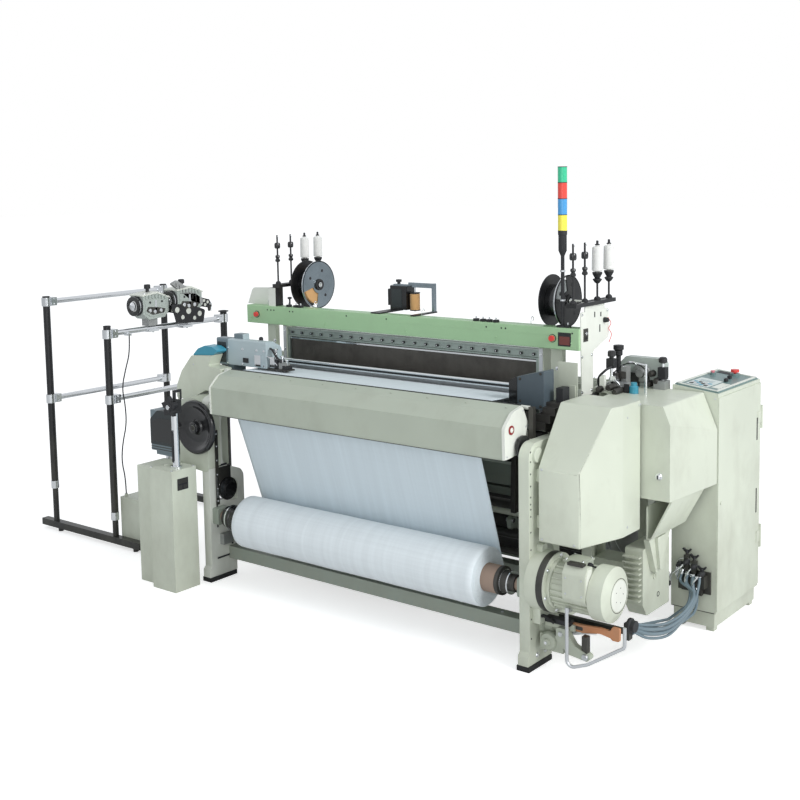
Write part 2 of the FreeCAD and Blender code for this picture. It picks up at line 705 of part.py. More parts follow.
def drive_side():
    """Clutch, motor, gearbox and the sheet covers on the right of the machine."""
    y = S.drive_depth
    z = S.drive_height
    radius = S.clutch_radius
    long = S.clutch_long
    clutch = turned("clutch", (0, y, z), "x", [
        (0, 0), (radius, 0), (radius, long), (0, long)])
    foot = prism("clutch_foot", "yz", closed([(y - 60, z - 190), (y + 60, z - 190),
                                              (y + 60, z), (y - 60, z)]), 0, 40)
    cap = prism("clutch_lug", "yz", closed([(y - 30, z), (y + 30, z), (y + 22, z + 165, 18),
                                            (y - 22, z + 165, 18)]), 0, 30)
    arm = box("lever_bearer", (30, S.lever_depth - 11, 200), (150, 11 - gap, 30))
    pin = rod("lever_pin", (S.lever_across, S.lever_depth - 8, S.lever_height), "y", S.lever_pin, 27)
    node("clutch_housing", [union("clutch_casting", [clutch, foot, cap, arm, pin])])
    barrel = S.motor_radius
    motor_long = S.motor_long
    shell = turned("motor_shell", (long, y, z), "x", [
        (0, 0), (barrel, 0), (barrel, 16), (barrel - 12, 16), (barrel - 12, motor_long - 92),
        (barrel + 10, motor_long - 92), (barrel + 10, motor_long - 22), (barrel - 30, motor_long),
        (0, motor_long)])
    fins = []
    fin_count = 8
    for index in range(fin_count):
        angle = 360 * index / fin_count
        fin = doc.addObject("Part::Box", f"fin_{index}")
        bind(fin, "Length", motor_long - 116)
        bind(fin, "Width", 5)
        bind(fin, "Height", 15)
        turn = Rotation(Vector(1, 0, 0), angle)
        reach = turn.multVec(Vector(0, -2.5, float(barrel) - 15))
        put(fin, (float(long) + 20, float(y) + reach.y, float(z) + reach.z), turn)
        fins.append(fin)
    terminal = box("terminal_box", (long + 60, y - 40, z + barrel - 18), (90, 80, 38))
    node("drive_motor", [union("motor_work", [shell, terminal] + fins)])
    side = closed([(30, 600, 8), (30, 937, 30), (222, 1200, 20), (455, 1200, 8), (455, 600, 8)])
    plan = closed([(30, 28), (234, 28, 14), (310, 290, 14), (310, 457), (30, 457)])
    shape = common("front_cover_form", prism("front_cover_side", "yz", side, 20, 340),
                   prism("front_cover_plan", "xy", plan, 590, 640))
    brackets = [box(f"cover_arm_{i}", (0, 60, zz), (34, 30, 60)) for i, zz in enumerate((650, 860))]
    node("front_drive_cover", [union("front_cover", [shape] + brackets)])
    rear_front = 472
    rear_deep = 428
    upper = prism("rear_cover_upper", "xz", closed([
        (60, 1178, 6), (412, 1178, 10), (487, 1000, 20), (487, 742, 6), (60, 742, 6)]),
        rear_front, rear_deep)
    hood = prism("rear_cover_plan", "xy", closed([
        (50, rear_front - 5), (447, rear_front - 5), (485, rear_front + rear_deep + 5),
        (50, rear_front + rear_deep + 5)]), 500, 700)
    flap = prism("flap", "xz", closed([
        (447, 745), (447, 735), (345, 545), (322, 545), (322, 700), (327, 700), (327, 550),
        (343, 550), (441, 745)]), rear_front + 20, rear_deep - 60)
    arms = [box(f"rear_cover_arm_{i}", (0, yy, 860), (64, 40, 60)) for i, yy in enumerate((570, 900))]
    node("rear_drive_cover", [union("rear_cover", [common("rear_cover_form", upper, hood), flap] + arms)])


def gearbox():
    """Finned warp let-off gearbox with its tapered arm housing."""
    front = 510
    deep = 275
    low = 158
    high = 486
    start = 205
    wide = 92
    profile = closed([(front, low + 60, 8), (front + 40, low, 10), (front + deep, low, 10),
                      (front + deep, high, 16), (front, high, 16)])
    block = prism("gear_block", "yz", profile, start, wide)
    fins = []
    fin_count = 9
    for index in range(fin_count):
        fins.append(box(f"gear_fin_{index}", (start, front - 26, low + 78 + 26 * index),
                        (wide - 8, 27, 7)))
    socket = turned("socket", (start + wide, front + 120, 330), "x", [
        (8, 0), (17, 0), (17, 5), (8, 5)])
    arm = prism("arm_housing", "yz", closed([
        (front + 5, 536, 6), (front + 225, 536, 6), (front + 130, 356, 20), (front + 80, 356, 20)]),
        start + wide - 1, 30)
    spine = prism("arm_spine", "yz", closed([
        (front + 62, 536), (front + 150, 536), (front + 118, 372, 14), (front + 92, 372, 14)]),
        start + wide + 20, 24)
    bearer = box("gear_bearer", (0, front + 70, 250), (start + 2, 140, 130))
    node("let_off_gearbox", [union("gear_casting", [block, socket, arm, spine, bearer] + fins)])


def hoop_and_hoses():
    """Guard hoop under the motor, and the hoses from their coupling to the valve block."""
    y = S.drive_depth
    z = S.drive_height
    hoop = tube("hoop_tube", [(206, -26, 352), (206, -26, 78), (300, -14, 112), (470, 4, 222),
                              (470, 4, 310)], (28, 60, 24), S.hoop_radius, 8)
    strap = box("hoop_strap", (196, -26, 330), (20, 90, 16))
    room = rod("motor_room", (190, y, z), "x", S.motor_radius + gap, 40)
    node("guard_hoop", [union("hoop_work", [hoop, cut("hoop_clip", strap, room)])])
    radius = S.hose_radius
    pitch = radius * 2 + 1
    face = 226
    bank = S.cabinet_front - 28
    hoses = []
    for index in range(3):
        rise = pitch * index
        out = 400 - (pitch + 3) * index
        path = [(379, face, 187 + rise), (379, face + 36, 187 + rise), (out, 640, 98 + rise),
                (out, bank, 104 + rise), (out, bank, manifold_low - gap)]
        hoses.append(tube(f"hose_{index}", path, (110, 160, 56), radius, 8))
    clamp = box("hose_coupling", (366, face - 34, 174), (26, 34 - gap, 76))
    arm = box("coupling_arm", (0, face - 30, 196), (370, 24, 22))
    node("hoses", hoses + [union("coupling", [clamp, arm])])


def cabinet():
    """Control cabinet: folded case open at the door side, its door, panel and buttons."""
    x0 = S.cabinet_left
    y0 = S.cabinet_front
    wide = S.cabinet_wide
    deep = S.cabinet_deep
    wall = S.sheet
    case = prism("case_outer", "xz", closed([
        (x0, S.cabinet_base), (x0 + wide, S.cabinet_base), (x0 + wide, S.cabinet_low),
        (x0, S.cabinet_high)]), y0, deep)
    lift = 36
    hollow = prism("case_inner", "xz", closed([
        (x0 + wall, S.cabinet_base + lift), (x0 + wide + 1, S.cabinet_base + lift),
        (x0 + wide + 1, S.cabinet_low - lift), (x0 + wall, S.cabinet_low - lift)]),
        y0 + wall, deep - wall * 2)
    shell = cut("case_shell", case, hollow)
    plinth = box("plinth", (x0 + 10, y0 + 12, 22), (wide - 22, deep - 24, S.cabinet_base - 20))
    feet = [box(f"cabinet_foot_{i}", (x0 + 16 + i % 2 * (wide - 74), y0 + 20 + i // 2 * (deep - 80), 0),
                (40, 40, 23)) for i in range(4)]
    tray = box("mounting_plate", (x0 + wall, y0 + 40, 200), (12, deep - 80, 860))
    units = [box(f"drive_unit_{i}", (x0 + wall + 11, y0 + 70 + 140 * i, 420), (90, 110, 330))
             for i in range(3)]
    hinge_x = hinge_across
    hinge_y = y0 + deep + 6
    lugs = []
    for index, z in enumerate((330, 950)):
        for side, zz in enumerate((z - 30, z + 60 + gap)):
            arm = box(f"lug_arm_{index}_{side}", (x0 + wide - 12, y0 + deep - 1, zz), (20, 7, 30 - gap))
            barrel = rod(f"lug_barrel_{index}_{side}", (hinge_x, hinge_y, zz), "z", hinge_radius, 30 - gap)
            lugs += [arm, barrel]
    node("cabinet", [union("case_work", [shell, plinth, tray] + feet + units + lugs)])
    door_low = S.cabinet_base + 12
    door_tall = S.cabinet_low - S.cabinet_base - 30
    panel = box("door_panel", (x0 + wide + gap, y0 + 2, door_low), (S.door_thick - gap, deep - 4, door_tall))
    knuckles = []
    for index, z in enumerate((330, 950)):
        knuckles.append(rod(f"knuckle_{index}", (hinge_x, hinge_y, z + gap), "z", hinge_radius, 60 - gap))
        knuckles.append(box(f"strap_{index}", (x0 + wide + gap, y0 + deep - 40, z + gap),
                            (S.door_thick + 3 - gap, 46, 60 - gap)))
    lock = rod("door_lock", (x0 + wide + S.door_thick - 1, y0 + 34, 640), "x", 9, 5)
    node("cabinet_door", [union("door_work", [panel, lock] + knuckles)])
    slope = (S.cabinet_high - S.cabinet_low) / wide
    plate = prism("panel_plate", "xz", closed([
        (x0 + 8, S.cabinet_high - slope * 8), (x0 + wide - 6, S.cabinet_low + slope * 6),
        (x0 + wide - 6, S.cabinet_low + slope * 6 + 7), (x0 + 8, S.cabinet_high - slope * 8 + 7)]),
        y0 + 14, deep - 34)
    buttons = {"e_stop": (382, 1345, 24, [(0, 0), (7, 0), (7, 15), (21, 15), (21, 29), (0, 29)]),
               "start_button": (300, 1262, 15, [(0, 0), (7, 0), (7, 13), (11, 13), (11, 19), (0, 19)])}
    collars = []
    bores = []
    for name, (x, y, radius, cap) in buttons.items():
        top = S.cabinet_high - slope * (x - x0) + 18
        collars.append(rod(f"{name}_collar", (x, y, top - 14), "z", radius, 14))
        bores.append(rod(f"{name}_bore", (x, y, top - 13), "z", 7 + gap, 14))
        node(name, [turned(f"{name}_turned", (x, y, top - 8.5), "z", cap)])
    for name, x, y in (("selector_knob_1", 398, 1240), ("selector_knob_2", 414, 1160)):
        seat = S.cabinet_high - slope * (x - 12 - x0) + 7
        collars.append(box(f"{name}_seat", (x - 12, y - 12, seat - 4), (24, 24, 5)))
        grip = prism(f"{name}_grip", "xy", closed([
            (x - 7, y - 13), (x + 7, y - 13), (x + 9, y), (x + 7, y + 13), (x - 7, y + 13),
            (x - 9, y)]), seat + 1 + gap, 15)
        stem = rod(f"{name}_stem", (x, y, seat + 2 + gap), "z", 6, 16)
        node(name, [union(f"{name}_work", [grip, stem])])
    base = union("panel_base", [plate] + collars)
    node("control_panel", [cut("panel_work", base, union("panel_bores", bores))])


manifold_low = 225


def valves():
    """Air valve block on the cabinet's front, with three wing handles."""
    face = S.cabinet_front
    plate = box("valve_plate", (310, face - 10, 190), (150, 10, 110))
    manifold = box("manifold", (326, face - 46, manifold_low), (118, 36, 60))
    stem_spots = ((346, 396), (384, 372), (424, 320))
    towers = []
    for index, (x, z) in enumerate(stem_spots):
        towers.append(box(f"valve_tower_{index}", (x - 12, face - 40, 280), (24, 24, z - 300)))
        towers.append(rod(f"valve_stem_{index}", (x, face - 28, z - 22), "z", 7, 12))
    node("valve_block", [union("valve_work", [plate, manifold] + towers)])
    for index, (x, z) in enumerate(stem_spots):
        hub = rod(f"wing_hub_{index}", (x, face - 28, z - 10 + gap), "z", 9, 12)
        wing = prism(f"wing_{index}", "xz", closed([
            (x - 24, z + 8), (x - 12, z - 6), (x + 12, z - 6), (x + 24, z + 8), (x + 18, z + 13),
            (x, z), (x - 18, z + 13)]), face - 33, 10)
        node(f"valve_handle_{index + 1}", [union(f"wing_work_{index}", [hub, wing])])


def signal():
    """Signal tower with four lenses on its pole."""
    x = -S.pole_across
    y = S.pole_depth
    foot = S.beam_bottom + S.beam_tall
    stack = S.lens_foot
    pole = turned("pole", (x, y, foot), "z", [
        (0, 0), (30, 0), (30, 8), (9, 8), (9, stack - foot - 120), (20, stack - foot - 94),
        (20, stack - foot - 20), (S.lens_radius, stack - foot - 18), (S.lens_radius, stack - foot - gap),
        (0, stack - foot - gap)])
    node("signal_pole", [pole])
    for index, name in enumerate(("yellow", "blue", "red", "green")):
        foot_at = S.lens_foot + S.lens_tall * index
        lens = turned(f"lens_{name}_turned", (x, y, foot_at), "z", [
            (0, 0), (S.lens_radius, 0), (S.lens_radius, S.lens_tall - gap), (0, S.lens_tall - gap)])
        node(f"lens_{name}", [lens])


def yarn_stands():
    """Slotted bars with guide rods, cone spindles and selvedge reels on both sides."""
    beam_top = S.beam_bottom + S.beam_tall
    rods = []
    cones = []
    brackets = []
    for side, across, first, reel_side in (("right", -42, 460, -1), ("left", -2050, 565, 1)):
        bar = box(f"{side}_bar", (across - 28, first - 20, S.stand_bar), (56, 385, 18))
        slots = [box(f"{side}_slot_{i}", (across - 9, first + 30 + 105 * i, S.stand_bar - 1), (18, 62, 20))
                 for i in range(3)]
        axle_y = first + 190 if side == "right" else first + 165
        axle_from = across - 20 if side == "right" else across + 20
        axle_long = 212 if side == "right" else 148
        axle = rod(f"{side}_axle", (axle_from, axle_y, S.reel_height), "-x" if side == "right" else "x",
                   8, axle_long)
        bar_work = union(f"{side}_bar_work", [cut(f"{side}_bar_slotted", bar,
                                                 union(f"{side}_slots", slots)), axle])
        brackets.append(bar_work)
        flange = S.reel_radius - (10 if side == "right" else 0)
        reel_x = across - 230 if side == "right" else across + 166
        reel = turned(f"{side}_reel_turned", (reel_x, axle_y, S.reel_height),
                      "x" if side == "right" else "-x", [
            (8 + gap, 0), (flange, 0), (flange, 5), (58, 5), (58, S.reel_wide - 5),
            (flange, S.reel_wide - 5), (flange, S.reel_wide),
            (8 + gap, S.reel_wide)])
        node(f"{side}_reel", [reel])
        bar_top = S.stand_bar + 18
        for index in range(2):
            y = first + 110 * index
            tall = 1900 - bar_top
            rods.append(turned(f"{side}_rod_{index}", (across, y, bar_top), "z", [
                (0, 0), (5, 0), (5, 205), (14, 205), (14, 238), (5, 238), (5, tall), (0, tall)]))
        for index in range(2):
            y = first + 230 + 115 * index
            cup = 1752 - bar_top
            rods.append(turned(f"{side}_spindle_{index}", (across, y, bar_top), "z", [
                (0, 0), (5, 0), (5, cup - 8), (24, cup - 8), (24, cup), (3, cup), (3, cup + 142),
                (0, cup + 142)]))
            cones.append(turned(f"{side}_cone_{index}", (across, y, 1752 + gap), "z", [
                (3 + gap, 0), (S.cone_radius, 0), (S.cone_radius, S.cone_tall),
                (3 + gap, S.cone_tall)]))
    node("yarn_stands", rods + [middle_stand()])
    node("yarn_cones", cones)
    panel_front = 512
    panel = prism("end_panel", "yz", closed([
        (panel_front + 10, 1168, 8), (panel_front + 118, 1168, 8), (panel_front + 118, 1375, 20),
        (panel_front + 272, 1430, 20), (panel_front + 272, 1572, 14), (panel_front, 1572, 14)]),
        -36, 5)
    neck = box("panel_neck", (-36, panel_front + 40, 1560), (5, 190, 40))
    shelf = box("panel_foot", (-60, panel_front + 68, 1040), (30, 50, 135))
    rear = prism("left_bracket", "xz", closed([
        (-2297, beam_top), (-2022, beam_top), (-2022, 1600, 6), (-2255, 1590, 30)]), 560, 6)
    rib = box("left_bracket_rib", (-2078, 510, beam_top), (56, 62, 105))
    node("yarn_brackets", [union("right_bracket", [brackets[0], panel, neck, shelf]),
                           union("left_bracket_work", [brackets[1], rear, rib])])


def middle_stand():
    foot = S.beam_bottom + S.beam_tall
    straps = [box(f"stand_strap_{i}", (x, 510, foot), (wide, 204, 8))
              for i, (x, wide) in enumerate(((-1316, 64), (-1046, 26)))]
    left = box("stand_left", (-1316, 690, foot), (64, 22, 140))
    right = box("stand_right", (-1040, 690, foot), (16, 22, 158))
    head = box("stand_head", (-1300, 690, foot + 132), (270, 22, 14))
    case = box("stand_case", (-1322, 668, foot + 30), (60, 66, 90))
    return union("stand_work", straps + [left, right, head, case])


def weft_side():
    """Housings, boxes and the handwheel on the left of the machine."""
    axis_x = -S.wheel_across
    axis_z = S.wheel_height
    face = -8
    housing = prism("wheel_housing", "xz", closed([
        (-2320, 640, 20), (-2066, 620, 30), (-2066, 960, 110), (axis_x - 10, 1062, 150),
        (-2320, 990, 110)]), face, 200 - face)
    hub = rod("wheel_pin", (axis_x, face + 1, axis_z), "-y", 14, 48)
    frame_room = box("frame_room", (-S.frame_span, -gap, 600), (S.frame_thick + gap, 240, 500))
    rear_room = box("rear_room", (-S.frame_span, 84, 600), (90, 240, 500))
    node("handwheel_housing", [cut("housing_work", union("housing_union", [housing, hub]),
                                   union("housing_rooms", [frame_room, rear_room]))])
    wheel = turned("wheel_turned", (axis_x, face - gap, axis_z), "-y", [
        (14 + gap, 0), (S.wheel_radius - 30, 12), (S.wheel_radius, 12), (S.wheel_radius, 36),
        (S.wheel_radius - 24, 36), (S.wheel_radius - 40, 22), (34, 22), (34, 46), (14 + gap, 46)])
    grip = rod("wheel_grip", (axis_x - S.wheel_radius + 26, face - 22, axis_z), "-y", 10, 44)
    node("handwheel", [union("wheel_work", [wheel, grip])])
    tall = prism("front_box", "xy", closed([(-2280, -247), (-2095, -247), (-2095, -72),
                                            (-2280, -72)]), 0, 672)
    wide = prism("rear_box", "xy", closed([(-2430, -205), (-2280, -205), (-2280, face - gap),
                                           (-2430, face - gap)]), 0, 657)
    bridge = box("box_bridge", (-2281, -200, 0), (40, 120, 640))
    post = rod("clamp_post", (-2150, -160, 668), "z", 21, 330)
    slot = box("post_slot", (-2157, -185, 700), (14, 12, 180))
    hook = prism("post_hook", "yz", closed([(-167, 990), (-153, 990), (-153, 1083), (-127, 1083),
                                            (-127, 1040), (-113, 1040), (-113, 1097),
                                            (-167, 1097)]), -2157, 14)
    bar_rear = S.creel_front + 24 + gap
    cream = prism("feeder_box", "xy", closed([(-3018, bar_rear), (-2700, bar_rear),
                                              (-2700, 440), (-3018, 440)]), 0, 310)
    gland = rod("cable_gland", (-2996, 160, 309), "z", 10, 16)
    clamp_base = box("clamp_block", (-2180, -181, 975), (60, 44, 70))
    clamp_bore = rod("clamp_bore", (-2150, -160, 970), "z", 21 + gap, 90)
    node("left_boxes", [union("weft_box", [tall, wide, bridge, cut("post_work", post, slot), hook]),
                        union("cream_box", [cream, gland]), cut("clamp_block_work", clamp_base, clamp_bore)])
    star = []
    lobes = 5
    for index in range(lobes * 2):
        angle = math.radians(90 + 180 * index / lobes)
        reach = 62 if index % 2 == 0 else 34
        star.append((-2150 + reach * math.cos(angle), 1010 + reach * math.sin(angle)))
    knob = prism("star_form", "xz", closed(star), -181 - gap - 24, 24)
    hub = rod("star_hub", (-2150, -181 - gap - 1, 1010), "-y", 15, 28)
    node("clamp_knob", [union("star_work", [knob, hub])])
    top = S.frame_height
    fender = prism("fender_form", "xz", closed([
        (-2440, top - 55, 12), (-2330, top - 55, 12), (-2200, top + 10, 20), (-2072, top + 10, 8),
        (-2072, top + 140, 8), (-2172, top + 150, 8), (-2140, top + 212), (-2305, top + 200, 20),
        (-2392, top + 105, 60), (-2436, top + 20, 40)]), 110, 88)
    stay = box("fender_stay", (-S.frame_span, 120, S.frame_height), (S.frame_thick, 70, 40))
    node("fender_cover", [union("fender_work", [fender, stay])])
    cap = prism("cap_form", "xz", closed([
        (-2305, top + 200.6, 3), (-2140, top + 212.6), (-2097, top + 237, 8), (-2147, top + 259, 30),
        (-2204, top + 262, 30), (-2262, top + 241, 30)]), 120, 76)
    node("blue_cap", [cap])
    servo = union("servo_work", [
        box("servo_case", (-2620, 60, 668), (240, 170, 236)),
        box("servo_foot", (-2600, 80, 640), (200, 130, 30)),
        box("servo_arm", (-2390, 90, 700), (70, 100, 120))])
    left_box = prism("left_rapier", "yz", closed([
        (205, 1192, 6), (330, 1192, 6), (330, 1300, 30), (260, 1338, 20), (205, 1338, 8)]), -2190, 380)
    left_foot = box("left_rapier_foot", (-S.frame_span, 220, S.frame_height), (50, 90, 170))
    left_black = box("left_rapier_lamp", (-2090, 240, 1330), (70, 50, 34))
    right_box = prism("right_rapier", "xz", closed([
        (-262, 1168, 6), (-200, 1160), (-75, 1142, 6), (-75, 1327, 6), (-216, 1290, 10),
        (-262, 1263, 12)]), 250, 90)
    right_foot = box("right_rapier_foot", (-80, 270, S.frame_height), (75, 70, 140))
    steps = [box(f"cutter_step_{i}", (-130 + 30 * i, 205 + 12 * i, 1060 + 34 * i), (90 - 12 * i, 60, 36))
             for i in range(3)]
    node("rapier_housings", [servo, union("left_rapier_work", [left_box, left_foot, left_black]),
                             union("right_rapier_work", [right_box, right_foot] + steps)])


def creel():
    """Four-post weft stand with bright rails, weft feeders and their cable."""
    front = S.creel_front
    rear = S.creel_rear
    bar_low = 22
    bar_tall = 42
    bar_top = bar_low + bar_tall
    frame = []
    for index, y in enumerate((front, rear)):
        frame.append(box(f"base_bar_{index}", (-S.creel_bar_end, y - 24, bar_low),
                         (S.creel_bar_end - 2800, 48, bar_tall)))
        for step, x in enumerate((-3600, -2860)):
            frame.append(rod(f"creel_foot_{index}_{step}", (x, y, 0), "z", 16, bar_low + 1))
    posts = ((S.creel_left, front, S.creel_tall, 300), (S.creel_right, front, S.creel_low, 190),
             (S.creel_left, rear, S.creel_tall, 300), (S.creel_right, rear, S.creel_low, 190))
    foot = S.creel_tube - 4
    turned_posts = [turned(f"post_{index}", (-x, y, 0), "z", [
        (0, bar_top), (foot, bar_top), (foot, joint), (S.creel_tube, joint), (S.creel_tube, top),
        (0, top)]) for index, (x, y, top, joint) in enumerate(posts)]
    bars = union("base_work_0", frame[0:3]), union("base_work_1", frame[3:6])
    node("creel_frame", list(bars) + turned_posts)
    rails = []
    reach = S.creel_tube + gap
    for name, x, z in (("top_a", S.creel_left, 1475), ("middle_a", S.creel_left, 857),
                       ("middle_b", S.creel_right, 911), ("top_b", S.creel_right, 1310)):
        rail = rod(f"rail_{name}", (-x, front + reach + 10, z), "y", S.rail_radius,
                   rear - front - (reach + 10) * 2)
        ends = [box(f"clamp_{name}_{side}", (-x - 26, y, z - 26), (52, 40, 52))
                for side, y in enumerate((front + reach, rear - reach - 40))]
        if name == "top_b":
            ends.append(box("cable_clip", (-x - 10, 240, 1286), (46, 24, 16)))
        rails.append(union(f"rail_work_{name}", [rail] + ends))
    node("creel_rails", rails)
    feeders = []
    for index, y in enumerate((345, 600)):
        x = -S.creel_right - 10 + 26 * index
        low = 1368 + 14 * index
        house = prism(f"feeder_{index}", "yz", closed([
            (y, low + 20), (y + 70, low), (y + 200, low + 6), (y + 212, low + 130),
            (y + 120, low + 186), (y, low + 168)]), x - 62, 124)
        ring_part = turned(f"feeder_ring_{index}", (x, y - 34, low + 88), "y", [
            (30, 0), (58, 0), (58, 36), (30, 36)])
        knob = rod(f"feeder_knob_{index}", (x, y + 90, low + 160), "z", 16, 58)
        foot = box(f"feeder_foot_{index}", (x - 30, y + 70, 1310), (60, 60, low - 1300))
        arm = prism(f"feeder_arm_{index}", "yz", closed([
            (y + 200, low + 100), (y + 200, low + 30), (y + 340, low - 30), (y + 340, low + 10)]),
            x + 20, 10)
        pieces = [house, ring_part, knob, foot] + ([arm] if index == 1 else [])
        whole = union(f"feeder_work_{index}", pieces)
        clear = rod(f"feeder_clear_{index}", (-S.creel_right, y + 40, 1310), "y",
                    S.rail_radius + gap, 120)
        feeders.append(cut(f"feeder_cut_{index}", whole, clear))
    node("weft_feeders", feeders)


def cable():
    """Feeder cable: free from the rail down to the top of the box beside the stand."""
    points = [(-3020, 252, 1286), (-3020, 252, 1184), (-3006, 202, 1086), (-3002, 166, 976),
              (-3010, 192, 868), (-2998, 186, 750), (-2994, 148, 642), (-3004, 142, 526),
              (-2996, 160, 420), (-2996, 160, 325)]
    spots = [Vector(*point) for point in points]
    bends = []
    for before, here, after in zip(spots, spots[1:], spots[2:]):
        turn = math.pi - (before - here).getAngle(after - here)
        shorter = min((before - here).Length, (after - here).Length)
        bends.append(0.45 * shorter / math.tan(turn / 2))
    print("cable radii", [round(radius) for radius in bends])
    made = tube("cable_tube", points, bends, S.cable_radius)
    length = made.Shape.Volume / (math.pi * float(S.cable_radius) ** 2)
    print("cable length", round(length), "route", round(route(points, bends).Length))
    node("creel_cable", [made])


def levers():
    """Clutch lever with its handle, on the pin below the motor."""
    x = S.lever_across
    z = S.lever_height
    bar = prism("lever_form", "xz", closed([
        (x - 18, z - 19, 14), (x + 162, z - 19, 8), (x + 170, z - 1, 6), (x + 224, z - 9, 6),
        (x + 232, z + 47, 10), (x + 178, z + 47, 8), (x + 166, z + 25, 6), (x - 18, z + 19, 14)])
        + ring(x, z, S.lever_pin + gap), S.lever_depth, 16)
    node("clutch_lever", [bar])


def beam_buttons():
    for name, x in zip(("beam_button_left", "beam_button_right"), BUTTONS):
        button = turned(name + "_turned", (x, S.beam_front - 1, S.beam_bottom + S.beam_tall - 52),
                        "-y", [(0, 0), (14, 0), (14, 16), (0, 16)])
        node(name, [button])


cross_beams = frames()
breast()
top_beam()
uprights()
cloth()
node("cross_beams", cross_beams + rolls())
take_up()
warp()
shedding()
drive_side()
gearbox()
hoop_and_hoses()
cabinet()
valves()
signal()
yarn_stands()
weft_side()
creel()
cable()
levers()
beam_buttons()
doc.recompute()

faults = []
for thing in doc.Objects:
    if "Invalid" in thing.State or "Error" in thing.State:
        faults.append(f"{thing.Label}: {thing.State}")
for thing in NODES:
    if thing.Shape.isNull() or not thing.Shape.isValid() or not thing.Shape.Solids:
        faults.append(f"{thing.Label}: no valid solid")
if faults:
    raise SystemExit("\n".join(faults))
os.makedirs("parts", exist_ok=True)
for thing in NODES:
    thing.Shape.exportStep(f"parts/{thing.Label}.step")
print(len(NODES), "nodes", sum(len(thing.Shape.Solids) for thing in NODES), "solids")
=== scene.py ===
"""Looks of a rapier weaving loom with its weft stand and control cabinet.

Places are written in millimetres from the outer front floor corner of the right-hand side
frame: +X to the weaver's right, +Y to the back, +Z up. at() turns them into metres in the
machine's own frame.
"""

import logging
import math
from dataclasses import dataclass
from enum import Enum
from typing import Iterable, Sequence

import bmesh
import bpy
from mathutils import Matrix, Vector


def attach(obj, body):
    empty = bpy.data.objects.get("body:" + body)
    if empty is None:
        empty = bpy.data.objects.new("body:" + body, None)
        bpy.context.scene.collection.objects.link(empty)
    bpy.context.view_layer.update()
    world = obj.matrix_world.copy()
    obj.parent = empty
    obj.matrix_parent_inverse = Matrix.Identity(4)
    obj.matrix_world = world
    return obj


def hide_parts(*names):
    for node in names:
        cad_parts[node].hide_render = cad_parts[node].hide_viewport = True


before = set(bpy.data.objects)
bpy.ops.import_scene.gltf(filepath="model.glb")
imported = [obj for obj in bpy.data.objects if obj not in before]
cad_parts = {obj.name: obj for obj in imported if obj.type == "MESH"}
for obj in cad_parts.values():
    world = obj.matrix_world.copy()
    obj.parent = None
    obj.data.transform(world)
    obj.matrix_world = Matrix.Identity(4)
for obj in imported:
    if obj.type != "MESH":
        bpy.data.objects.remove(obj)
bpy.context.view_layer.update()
LOG = logging.getLogger("loom")
DATUM = Vector((1.6335, -0.6665, 0.0))
MM = 0.001
Point = Sequence[float]
Colour = tuple[float, float, float]


def at(place: Point) -> Vector:
    """Turns a place in loom millimetres into metres in the machine's frame."""
    return Vector(place) * MM + DATUM


def srgb(code: str) -> Colour:
    """Turns a colour written as six hexadecimal digits into linear values."""
    parts = [int(code[i:i + 2], 16) / 255 for i in (0, 2, 4)]
    return tuple(p / 12.92 if p <= 0.04045 else ((p + 0.055) / 1.055) ** 2.4 for p in parts)


class Axis(Enum):
    """The axis that a round piece is turned about, or a run goes along."""

    X = 0
    Y = 1
    Z = 2


class Body(Enum):
    """The moving parts of the machine that a piece can ride on."""

    LOOM = "loom"
    CLOTH_ROLL = "cloth_roll_body"
    TAKE_UP = "take_up"
    WARP = "warp"
    HAND_WHEEL = "hand_wheel"
    SLEY = "sley_body"
    HEALDS_FRONT = "healds_front"
    HEALDS_REAR = "healds_rear"
    LEVER = "lever"
    REEL_LEFT = "reel_left"
    REEL_RIGHT = "reel_right"
    DOOR = "door"
    STOP = "stop_button"
    RUN = "run_button"
    SELECTOR_1 = "selector_1"
    SELECTOR_2 = "selector_2"
    BUTTON_LEFT = "button_left"
    BUTTON_RIGHT = "button_right"
    STAR_KNOB = "star_knob"
    VALVE_1 = "valve_1"
    VALVE_2 = "valve_2"
    VALVE_3 = "valve_3"


# ---------------------------------------------------------------------------------------------
# Shader building


